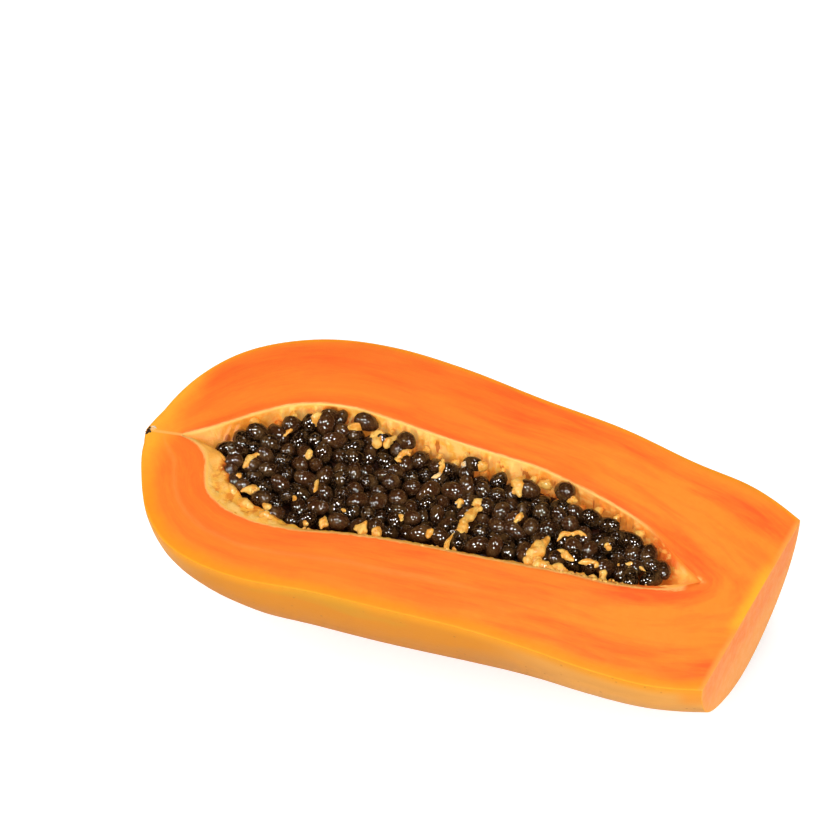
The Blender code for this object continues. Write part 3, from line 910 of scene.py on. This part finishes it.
def markFruit(points, centres):
    # distances are in millimetres, and 30 stands for far away
    u = np.linspace(0, 1, 900)
    outline = [skinPlace(np.ones(240), np.linspace(0, 1, 240))]
    for side in (0.0, math.pi):
        turn = np.full_like(u, side)
        outline.append(skinPoint(polarAtKnife(turn) * u, turn))
    inside = u[(u * steps >= startStep) & (u * steps <= endStep)]
    rims = [np.stack((*innerEdge(inside, way), np.zeros_like(inside)), -1) for way in (1, -1)]
    knife = ((length - points[:, 0]) * math.cos(slant) + points[:, 1] * math.sin(slant)) * 1000
    onCut = (points[:, 2] > -0.0006) | (knife < 0.25)
    high = points[:, 2] > -0.005
    fromSkin, fromCavity = np.full((2, len(points)), 30.0)
    fromSkin[onCut] = nearestDistance(points[onCut], np.vstack(outline)) * 1000
    fromCavity[high] = nearestDistance(points[high], np.vstack(rims)) * 1000
    along = points[:, 0] / length
    axis = middleLine(along)
    polar = np.arccos(np.clip(1 - 2 * along / fruit["uncutShare"], -1, 1))
    far, nearSide, _ = [length * smoothCurve(c, polar) for c in skinCurves]
    offset = points[:, 1] - axis
    tongue = np.exp(-(((along - 0.915) / 0.012) ** 2 + ((points[:, 1] - 0.0042) / 0.0012) ** 2))
    neckRim = rise(points[:, 1], 0.0035, -0.004) * rise(along, 0.905, -0.02)
    nearness = -offset / np.maximum(np.where(offset > 0, far - axis, nearSide + axis), 1e-3)
    return {
        "fromSkin": fromSkin,
        "fromCavity": fromCavity,
        "fromAxis": np.abs(offset) * 1000,
        "fromEnd": np.clip(knife, 0, 100),
        "fromTip": np.linalg.norm(points - (-0.0006, 0, 0), axis=1) * 1000,
        "alongShare": along,
        "nearness": np.clip(nearness, -1.2, 1.2),
        "neckFibre": rise(along, 0.85, 0.04) * rise(along, 0.97, -0.04),
        "neckRim": neckRim + tongue,
        "fromSeed": np.clip(nearestDistance(points, centres) * 1000 - 3.3, -1, 20),
        "below": np.clip(-points[:, 2] * 1000, 0, 100),
    }


def makeHalf(centres):
    flesh = fruit["fleshSteps"]
    patches = [
        gridPatch(steps, fruit["aroundSteps"], skinPlace, 0),
        gridPatch(steps, flesh, fleshPlace(1), 1),
        gridPatch(steps, flesh, fleshPlace(-1), 1),
        gridPatch(fruit["aroundSteps"], fruit["neckSteps"], neckPlace, 2),
        gridPatch(endStep - startStep, cavity["wallSteps"], liningPlace, 3),
    ]
    made = joinPatches(patches, fruit["mergeWithin"])
    corners = [
        edge for edge in made.edges
        if {face.material_index for face in edge.link_faces} in ({0, 1}, {0, 2}, {1, 2})
    ]
    bmesh.ops.bevel(
        made, geom=corners, affect="EDGES", offset=fruit["edgeRound"], segments=2, profile=0.5,
        material=-1, clamp_overlap=True,
    )
    # the skin gives a little where the half lies
    down = lean.to_matrix().inverted() @ Vector((0, 0, -1))
    lowest = max(vertex.co.dot(down) for vertex in made.verts) - fruit["flatSpot"]
    for vertex in made.verts:
        over = vertex.co.dot(down) - lowest
        if over > 0:
            vertex.co -= down * over
    finishes = [makeSkin(), makeCutFlesh(), makeNeckFlesh(), makeLining()]
    piece = finishPiece(
        made, "papayaHalf", finishes, lambda points: markFruit(points, centres)
    )
    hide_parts("fruit_half")


# The seeds, settled by the same rule as the solid's

def wallRoom(points):
    # distance from the cavity's wall, and the way inwards from it
    def level(p):
        middle, half, depth = cavitySection(p[:, 0] / length)
        across = (p[:, 1] - middle) / np.maximum(half, 1e-4)
        down = np.minimum(p[:, 2], 0) / np.maximum(depth, 1e-4)
        return np.sqrt(across**2 + down**2 + 1e-9)

    nudge = 2e-4
    here = level(points)
    slope = np.empty_like(points)
    for axis in range(3):
        moved = points.copy()
        moved[:, axis] += nudge
        slope[:, axis] = (level(moved) - here) / nudge
    steep = np.maximum(np.linalg.norm(slope, axis=1), 1e-6)
    return (1 - here) / steep, -slope / steep[:, None]


def settleSeeds():
    draw = np.random.default_rng(seeds["draw"])
    count = seeds["count"]
    size = 1 + seeds["spread"] * draw.uniform(-1, 1, count)
    turns = draw.uniform(-1, 1, (count, 3)) * (math.pi, seeds["tilt"], math.pi)
    level = np.cos(turns[:, 1])
    longAxis = np.stack(
        (level * np.cos(turns[:, 2]), level * np.sin(turns[:, 2]), -np.sin(turns[:, 1])), 1
    )
    along = seeds["start"] + (seeds["end"] - seeds["start"]) * draw.uniform(0, 1, count)
    middle, half, _ = cavitySection(along)
    place = np.empty((count, 3))
    place[:, 0] = along * length
    place[:, 1] = middle + half * draw.uniform(-0.8, 0.8, count)
    place[:, 2] = heapTop(place[:, 0], place[:, 1]) - draw.uniform(0.003, 0.016, count)
    drop = seeds["drop"] * draw.uniform(0, 1, count) ** 2

    # they push each other apart, climb to the heap's top and keep off the wall
    def reach(cosine):
        return 1 / np.sqrt((1 - cosine**2) / seeds["wide"] ** 2 + cosine**2 / seeds["long"] ** 2)

    for _ in range(seeds["steps"]):
        apart = place[:, None] - place[None]
        distance = np.linalg.norm(apart, axis=2) + 1e-9
        way = apart / distance[..., None]
        own = size[:, None] * reach((way * longAxis[:, None]).sum(axis=2))
        overlap = np.maximum(0, own + own.T - distance)
        np.fill_diagonal(overlap, 0)
        place += seeds["push"] * (way * overlap[..., None]).sum(axis=1)
        place[:, 0] = np.clip(place[:, 0], seeds["start"] * length, seeds["end"] * length)
        height = size * reach(longAxis[:, 2])
        highest = heapTop(place[:, 0], place[:, 1]) - height - drop
        place[:, 2] = np.minimum(place[:, 2] + seeds["climb"], highest)
        room, inward = wallRoom(place)
        middle, half, _ = cavitySection(place[:, 0] / length)
        gap = seeds["wallGap"] + pulpRoom(place[:, 0] / length, (middle - place[:, 1]) / half)
        short = np.clip(size * seeds["long"] + gap - room, 0, seeds["slip"])
        place += short[:, None] * inward
    return place, size, turns


def sunkMark(points):
    # millimetres below the heap's top
    return {"sunk": (heapTop(points[:, 0], points[:, 1]) - points[:, 2]) * 1000}


def pickSeeds(place, size, turns):
    # those near the heap's top, and the caught ones: place, turn and size of each
    draw = np.random.default_rng(seeds["caughtDraw"])
    buried = heapTop(place[:, 0], place[:, 1]) - place[:, 2] - seeds["wide"] * size
    caught = np.array(seeds["caught"]) * (0.001, 0.001, 0.001, 1)
    apart = np.linalg.norm(place[:, None] - caught[None, :, :3], axis=2).min(axis=1)
    kept = np.flatnonzero((buried < seeds["deepest"]) & (apart > seeds["clear"]))
    lying = [(place[i], turns[i], float(size[i])) for i in kept]
    for *spot, share in caught:
        lying.append((np.array(spot), draw.uniform(-1, 1, 3) * (3, 0.5, 3), share))
    return lying


def makeSeeds(lying):
    draw = np.random.default_rng(seeds["shapeDraw"])
    made = bmesh.new()
    shape = roundShape(seeds["sides"], seeds["rings"])
    tones = []
    for index, (centre, turn, share) in enumerate(lying):
        one = addCopy(made, shape)
        turned = Euler(turn).to_matrix()
        shift = Vector((index * 3.1, 0, 0))
        drawn = 1 + draw.uniform(*seeds["stretch"])
        for vertex in one:
            p = vertex.co.copy()
            slim = seeds["wide"] * (1 - seeds["egg"] * p.x) / math.sqrt(drawn)
            dent = seeds["swell"] * share * (1 + seeds["dent"] * noise.noise(p * 1.5 + shift))
            shaped = Vector((p.x * seeds["long"] * drawn, p.y * slim, p.z * slim))
            vertex.co = Vector(centre) + turned @ (shaped * dent)
        tones += [draw.uniform(0, 1)] * len(one)
    bmesh.ops.recalc_face_normals(made, faces=made.faces)
    piece = finishPiece(
        made, "seedHeap", [makeSeedCoat()],
        lambda points: {"seedTone": tones, **sunkMark(points)},
    )
    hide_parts("seeds")


# Soft pulp, and painted shade: a dark sheet under the seeds, stalks on the far wall, tufts between
# seeds, crumbs on the rim

pulp = {
    "bed": (0.115, 0.805),  # from, to as shares of the length
    "bedDepth": 0.0072,
    "bedWave": 0.0009,
    "bedThick": 0.0008,
    "bedEdge": 0.003,  # how far its edge turns down
    "stalkReach": 0.0100,
    "stalkWidth": 0.0025,
    "draw": 23,
    "tuftSink": 0.8,  # millimetres lower than their places
    # width, then places in millimetres along the tuft
    "tufts": (
        (
            3.7, (123.3, 13.0, -4.2), (123.1, 8.5, -3.6), (122.3, 2.4, -2.2), (123.2, -3.1, -1.2),
            (123.3, -7.4, -0.9),
        ),
        (1.6, (121.1, -4.6, -1.4), (120.6, -9.1, -0.7), (121.5, -13.6, -0.6), (123.9, -14.7, -0.6)),
        (
            4.6, (152.8, 6.3, -2.0), (152.3, 1.1, -1.1), (151.1, -3.0, -0.7), (150.2, -7.5, -0.8),
            (150.1, -10.5, -0.9),
        ),
        (2.2, (140.8, 13.1, -2.7), (139.1, 10.5, -2.5), (139.1, 8.4, -2.4)),
        (
            1.7, (156.3, 4.8, -1.7), (157.3, 8.5, -1.2), (160.3, 9.6, -1.0), (162.7, 11.2, -1.0),
            (165.5, 10.7, -1.4),
        ),
        (2.4, (157.7, -0.1, -0.8), (160.0, -0.3, -0.7), (162.1, -1.1, -0.6), (165.3, -2.6, -0.7)),
        (2.4, (166.9, -3.0, -0.6), (170.0, -1.2, -0.7), (172.9, -1.0, -0.7), (173.2, -3.0, -0.8)),
        (4.0, (151.6, -9.0, -1.4), (156.0, -8.8, -1.4), (160.8, -8.4, -1.4)),
        (3.2, (158.2, -7.6, -1.2), (161.8, -7.2, -1.2), (164.7, -8.0, -1.3)),
        (2.2, (172.3, 9.6, -1.8), (174.2, 9.3, -1.6), (174.5, 7.4, -1.8)),
        (1.5, (180.7, 1.4, -0.9), (183.5, 3.1, -1.0), (186.6, 3.6, -1.0), (190.4, 2.3, -1.0)),
        (2.2, (116.4, 14.0, -4.4), (116.9, 11.5, -4.2), (117.0, 9.3, -4.4)),
        (2.6, (175.2, -3.3, -1.0), (177.2, -5.0, -1.0), (176.9, -6.4, -1.2)),
        (2.1, (57.4, 14.2, -1.0), (58.1, 11.6, -1.1), (58.5, 9.3, -1.6)),
        (1.8, (39.3, 12.1, -1.0), (41.2, 11.4, -1.2)),
        (2.3, (40.5, 6.4, -1.9), (39.1, 3.3, -1.7), (38.5, -0.7, -1.6), (38.3, -3.1, -1.8)),
        (3.3, (42.2, -14.6, -1.0), (44.1, -12.7, -0.9), (47.3, -11.9, -0.9), (47.5, -15.2, -1.3)),
        (1.5, (65.6, 2.1, -2.0), (66.6, -2.2, -1.6), (67.0, -5.0, -1.4)),
        (1.8, (60.7, -9.6, -1.0), (62.6, -11.1, -1.0)),
        (2.6, (75.1, -14.3, -1.1), (75.8, -17.7, -1.0), (76.1, -20.8, -1.2)),
        (1.5, (79.5, -8.9, -1.0), (81.4, -9.8, -0.9)),
        (3.7, (86.9, -14.8, -1.5), (89.5, -15.4, -1.2), (92.2, -16.2, -1.4)),
        (3.7, (93.2, -13.3, -1.5), (95.6, -15.3, -1.3), (96.2, -17.2, -1.5)),
        (1.8, (99.1, -3.1, -2.0), (101.3, -4.7, -1.9)),
        (2.2, (113.0, -11.1, -1.0), (113.0, -8.1, -1.1), (113.3, -6.1, -1.4)),
        (1.8, (68.8, -19.9, -1.0), (71.3, -20.4, -1.0)),
        (2.9, (54.9, -17.0, -1.2), (55.2, -19.5, -1.4)),
        (1.8, (103.8, 28.5, -2.5), (104.9, 24.7, -2.5), (105.7, 20.7, -2.8)),
        (4.8, (51.5, 32.2, -2.4), (53.9, 29.6, -2.4), (56.6, 27.7, -2.8)),
        (3.7, (67.2, 33.2, -2.4), (68.9, 29.5, -2.8)),
        (4.0, (77.8, 33.6, -2.2), (78.4, 28.3, -2.6), (79.1, 24.8, -3.2)),
        (2.9, (82.3, 31.4, -2.3), (82.1, 26.0, -3.0)),
        (2.0, (87.9, 22.3, -3.0), (89.5, 26.2, -2.6), (91.5, 29.1, -3.0)),
        (1.8, (110.5, 33.4, -2.0), (112.3, 29.8, -2.4)),
        (4.4, (116.9, 32.3, -2.2), (118.8, 28.0, -2.6)),
        (4.4, (133.7, 30.4, -2.2), (134.5, 24.0, -2.4), (136.4, 21.1, -3.0)),
        (4.4, (143.4, 31.3, -2.2), (143.2, 28.0, -2.6)),
        (2.4, (151.8, 27.0, -1.8), (153.8, 25.7, -1.8), (156.7, 26.2, -2.4)),
        (1.5, (45.2, 25.5, -2.2), (46.3, 20.7, -2.0), (45.8, 18.3, -2.5)),
        (3.6, (42.5, -18.0, -1.2), (46.5, -19.6, -1.0), (50.0, -20.2, -1.0)),
        (3.4, (52.0, -21.0, -1.0), (56.0, -22.6, -0.9), (60.0, -23.0, -1.0)),
        (2.8, (36.5, -12.5, -1.2), (39.5, -15.0, -1.0), (41.0, -17.5, -1.2)),
        (2.4, (26.8, -1.5, -1.0), (29.2, -2.0, -0.6), (31.4, -3.0, -0.7)),
        (2.2, (32.0, -7.6, -0.9), (34.6, -9.9, -0.7)),
        (2.3, (37.2, -7.6, -0.5), (40.1, -8.7, -0.3)),
        (2.8, (52.0, -17.2, -0.8), (54.2, -18.0, -0.6), (56.4, -18.6, -0.8)),
    ),
    "skins": (  # pale scraps of seed skin
        (2.2, (111.5, 26.8, -1.0), (113.7, 26.1, -1.0)),
        (1.7, (103.9, 16.4, -1.5), (105.5, 18.1, -1.3), (106.3, 20.0, -1.5)),
    ),
    "crumbSize": (0.0003, 0.0009),
    # crumbs beside the near rim: from, to as shares of the length, and how many
    "crumbs": (
        (0.11, 0.27, 50), (0.29, 0.33, 8), (0.40, 0.43, 10), (0.49, 0.55, 14), (0.66, 0.79, 110),
        (0.79, 0.84, 12),
    ),
    "scarDraw": 3,
    # what is left of the blossom at the tip: radius, then place, all in millimetres
    "scar": (
        (0.8, (-0.5, -2.0, -0.5)), (0.95, (-0.4, -1.1, -0.4)), (0.95, (-0.4, -0.1, -0.35)),
        (0.8, (-0.4, 0.8, -0.3)), (0.6, (0.2, -0.6, 0.0)),
    ),
    "scarFibres": (  # width, then places in millimetres
        (0.5, (-0.8, 1.7, -0.1), (0.5, 2.0, 0.1), (2.2, 1.5, 0.0)),
        (0.4, (-0.5, 0.9, 0.1), (0.6, 1.1, 0.2), (1.9, 1.0, 0.0)),
        (0.35, (-0.6, 0.2, 0.2), (0.3, 0.4, 0.3), (1.5, 0.4, 0.0)),
    ),
}


def finishPulp(made, name, first, second, wetAndGlow):
    bmesh.ops.recalc_face_normals(made, faces=made.faces)
    finishPiece(made, name, [makePulp(name, first, second, wetAndGlow)], sunkMark)


def makeShadowBed():
    # a dark sheet under the seeds: painted shade in the gaps between them
    def place(u, v):
        start, end = pulp["bed"]
        along = start + (end - start) * u
        middle, half, _ = cavitySection(along)
        x = along * length
        y = middle + half * (0.86 * (2 * v - 1) + 0.06)  # a little closer to the far wall
        p = np.stack((x, y, heapTop(x, y) - pulp["bedDepth"]), -1)
        p[:, 2] += pulp["bedWave"] * noiseAt(p, 240)
        rim = (np.minimum(v, 1 - v) < 0.04) | (u < 0.01) | (u > 0.99)
        p[:, 2] -= np.where(rim, pulp["bedEdge"], 0)
        return p

    made = joinPatches([gridPatch(160, 40, place, 0)], 1e-6)
    bmesh.ops.solidify(made, geom=made.faces[:], thickness=pulp["bedThick"])
    finishPulp(made, "seedShadowBed", "under", "bed", 0.0)


def addStrand(made, points, width, rough, shift, taper=0.0):
    # a ball drawn out along the points, thicker at the start when it tapers
    points = np.array(points)
    if len(points) == 2:
        points = np.vstack((points[0], points.mean(0), points[1]))
    gaps = np.linalg.norm(np.diff(points, axis=0), axis=1)
    reach = np.concatenate(((0.0,), np.cumsum(gaps))) / gaps.sum()
    curves = [list(zip(reach, points[:, axis])) for axis in range(3)]
    rings = 10 + 6 * int(gaps.sum() / width)
    drawn = addCopy(made, roundShape(12, min(40, rings)))
    share = np.array([1 - math.acos(max(-1, min(1, vertex.co.x))) / math.pi for vertex in drawn])
    before, here, after = [
        np.stack([smoothCurve(curve, share + step) for curve in curves], 1)
        for step in (-0.02, 0, 0.02)
    ]
    ahead = after - before
    for vertex, t, at, towards in zip(drawn, share, here, ahead):
        flat = Vector((0, vertex.co.y, vertex.co.z))
        way = Vector(towards).to_track_quat("X", "Z") @ flat
        thick = width / 2 * (math.sin(math.pi * t) ** -0.4 if 0.02 < t < 0.98 else 1)
        thick *= 1 + 0.5 * noise.noise(Vector((shift, 2.6 * t, 0)))
        spot = Vector(at) + way * 0.002
        lump = noise.noise(spot * 330 + Vector((shift, 0, 0))) + 0.45 * noise.noise(spot * 900)
        vertex.co = Vector(at) + way * thick * (1 + rough * lump) * (1 + taper * (0.5 - t))


def addLump(made, shape, centre, radius, draw):
    # an uneven ball, flatter than it is wide
    stretch = Vector((draw.uniform(0.7, 1.5), draw.uniform(0.7, 1.2), draw.uniform(0.5, 0.9)))
    turn = Euler((0, 0, draw.uniform(0, math.pi))).to_matrix()
    shift = Vector((draw.uniform(0, 50), 0, 0))
    for vertex in addCopy(made, shape):
        bulge = 1 + 0.6 * noise.noise(vertex.co * 1.2 + shift)
        vertex.co = centre + turn @ (vertex.co * stretch) * (radius * bulge)


def addTuft(made, shape, width, points, draw):
    # a soft strand with a few lumps of pulp along it
    points = np.array(points) / 1000
    addStrand(made, points, 1.1 * width, 0.55, draw.uniform(0, 50))
    reach = np.linalg.norm(points[-1] - points[0])
    knots = range(len(points))
    for share in draw.uniform(0, 1, max(1, int(0.8 * reach / width))):
        at = np.array([np.interp(share * knots[-1], knots, points[:, axis]) for axis in range(3)])
        jitter = draw.normal(0, 1, 3) * (0.25, 0.25, 0.05) * width
        addLump(made, shape, Vector(at + jitter), width * draw.uniform(0.3, 0.5), draw)


def makePulpPieces(place):
    draw = np.random.default_rng(pulp["draw"])
    made = bmesh.new()
    shape = roundShape(8, 7)
    room, inward = wallRoom(place)
    middle, half, _ = cavitySection(place[:, 0] / length)
    side = (place[:, 1] - middle) / half
    top = heapTop(place[:, 0], place[:, 1]) - place[:, 2]

    # a stalk from the far wall to each seed beside it
    for index in np.flatnonzero((room < pulp["stalkReach"]) & (side > 0.1) & (top < 0.008)):
        end = Vector(place[index])
        wall = end - Vector(inward[index]) * float(room[index] + 0.0006)
        wall.z = min(wall.z + 0.0022, -0.0016)
        wall.x += draw.uniform(-1, 1) * 0.0012
        bend = (end + wall) / 2 + Vector((draw.uniform(-1, 1) * 0.0006, 0, 0.0006))
        width = pulp["stalkWidth"] * draw.uniform(0.7, 1.4)
        addStrand(made, (wall, bend, end), width, 0.5, index, 0.7)
    for width, *points in pulp["tufts"]:
        sunk = np.array(points) - (0, 0, pulp["tuftSink"])
        addTuft(made, shape, width / 1000, sunk, draw)

    # crumbs lie on the pulp's ledge, most of them close to the rim
    for start, end, count in pulp["crumbs"]:
        for _ in range(count):
            along = np.array(draw.uniform(start, end))
            mid, wide, _ = [float(a) for a in cavitySection(along)]
            gap = float(pulpRoom(along, np.array(1.0)))
            inset = draw.uniform(0.0, 1.0) ** 1.5 * (gap + 0.0010)
            z = -0.0004 - 0.0016 * min(1, inset / gap) + draw.uniform(-1, 1) * 0.0002
            centre = Vector((float(along) * length, mid - wide + inset, z))
            addLump(made, shape, centre, draw.uniform(*pulp["crumbSize"]), draw)
    finishPulp(made, "pulpStrands", "yellow", "orange", 0.25)

    scraps = bmesh.new()
    for index, (width, *points) in enumerate(pulp["skins"]):
        addStrand(scraps, np.array(points) / 1000, width / 1000, 0.6, 90 + index * 7)
    finishPulp(scraps, "seedSkins", "pale", "cream", 0.2)


def makeScar():
    # the blossom's dark remnant at the tip, and the pale fibres beside it
    draw = np.random.default_rng(pulp["scarDraw"])
    dark = bmesh.new()
    shape = roundShape(8, 6)
    for radius, spot in pulp["scar"]:
        addLump(dark, shape, Vector(spot) / 1000, radius / 1000, draw)
    finishPulp(dark, "blossomScar", "scarDark", "scar", 0.0)
    fibres = bmesh.new()
    for index, (width, *points) in enumerate(pulp["scarFibres"]):
        addStrand(fibres, np.array(points) / 1000, width / 1000, 0.4, index * 9)
    finishPulp(fibres, "blossomFibres", "pale", "cream", 0.0)


settled = settleSeeds()
lying = pickSeeds(*settled)
makeHalf(np.array([centre for centre, _, _ in lying]))
makeScar()
makeSeeds(lying)
makeShadowBed()
makePulpPieces(settled[0])
print("pieces made")

# Table, light and camera

stage = {
    "floorTones": (tone(222, 222, 222), tone(216, 216, 216)),
    "floorGlow": 0.6,
    "worldStrength": 0.12,
    # name, place, watts, width
    "lamps": (
        ("softFront", (0.0, -1.4, 0.9), 14.5, 0.9),
        ("softLeft", (-1.0, -0.5, 1.3), 6.2, 0.9),
        ("softRight", (1.0, -0.6, 1.0), 5.0, 0.9),
        ("softTop", (0.0, 0.5, 1.5), 6.8, 0.7),
        ("softNeck", (1.5, -0.3, 0.35), 10.5, 0.7),
        ("softBlossom", (-1.5, -0.5, 0.3), 6.0, 0.7),
    ),
    # small bright lamps that only gloss shows: azimuth, elevation, watts
    "glints": (
        (-20, 62, 9.0), (14, 34, 10.0), (36, 72, 8.0), (62, 46, 9.0), (-60, 36, 6.0),
        (185, 62, 2.0),
    ),
    "glintSize": 0.10,
    "glintReach": 1.2,
    "target": (0.08853, 0.0417, 0.0),
    "azimuth": 21.348,
    "elevation": 46.0,
    "distance": 1.2,
    "lens": 141.12,
}


def makeFloor():
    made = bmesh.new()
    bmesh.ops.create_grid(made, x_segments=1, y_segments=1, size=3.0)
    mesh = bpy.data.meshes.new("tableTop")
    made.to_mesh(mesh)
    made.free()
    floor = bpy.data.objects.new("tableTop", mesh)
    bpy.context.scene.collection.objects.link(floor)
    material, tree, shader = newMaterial("tableWhite", 0.6, {
        "Specular IOR Level": 0.1,
        "Emission Strength": stage["floorGlow"],
    })
    # the glow is there for the eye only, so that it lights nothing
    seen = addNode(tree, "LightPath").outputs["Is Camera Ray"]
    tree.links.new(blend(tree, seen, (0, 0, 0, 1), (1, 1, 1, 1)), shader.inputs["Emission Color"])
    faint = mottle(tree, addNode(tree, "TexCoord").outputs["Object"], 6.0)
    colour = blend(tree, span(tree, faint, 0.3, 0.7), *stage["floorTones"])
    tree.links.new(colour, shader.inputs["Base Color"])
    mesh.materials.append(material)


def aimed(azimuth, elevation):
    # from the fruit outwards: azimuth 0 is the front, 90 the neck's side
    azimuth, elevation = math.radians(azimuth), math.radians(elevation)
    level = Vector((math.sin(azimuth), -math.cos(azimuth), 0)) * math.cos(elevation)
    return level + Vector((0, 0, math.sin(elevation)))


def addLamp(name, place, power, size, gloss=False):
    # a lamp either lights the surfaces or shows in their gloss
    lamp = bpy.data.lights.new(name, "AREA")
    lamp.energy = power
    lamp.size = size
    made = bpy.data.objects.new(name, lamp)
    made.location = place
    made.rotation_euler = (-Vector(place)).to_track_quat("-Z", "Y").to_euler()
    made.visible_diffuse = not gloss
    made.visible_glossy = gloss
    bpy.context.scene.collection.objects.link(made)


def makeCamera():
    back = aimed(stage["azimuth"], stage["elevation"])
    view = bpy.data.cameras.new("view")
    view.lens = stage["lens"]
    view.sensor_width = 36
    view.sensor_fit = "HORIZONTAL"
    view.clip_end = 20
    camera = bpy.data.objects.new("view", view)
    target = Vector(stage["target"])
    upright = (-back).to_track_quat("-Z", "Y").to_matrix().to_4x4()
    camera.matrix_world = lie @ Matrix.Translation(target + back * stage["distance"]) @ upright
    bpy.context.scene.collection.objects.link(camera)
    bpy.context.scene.camera = camera


def makeDaylight():
    # an even light from all round, which gloss doesn't show
    world = bpy.data.worlds.new("daylight")
    world.use_nodes = True
    tree = world.node_tree
    sky = tree.nodes["Background"]
    sky.inputs["Color"].default_value = (1, 1, 1, 1)
    dull = maths(tree, "SUBTRACT", 1.0, addNode(tree, "LightPath").outputs["Is Glossy Ray"])
    tree.links.new(times(tree, dull, stage["worldStrength"]), sky.inputs["Strength"])
    bpy.context.scene.world = world


makeFloor()
for lamp in stage["lamps"]:
    addLamp(*lamp)
for azimuth, elevation, power in stage["glints"]:
    spot = aimed(azimuth, elevation) * stage["glintReach"]
    addLamp("glint", spot, power, stage["glintSize"], True)
makeCamera()
makeDaylight()
bpy.context.scene.view_settings.view_transform = "Standard"
print("stage made")
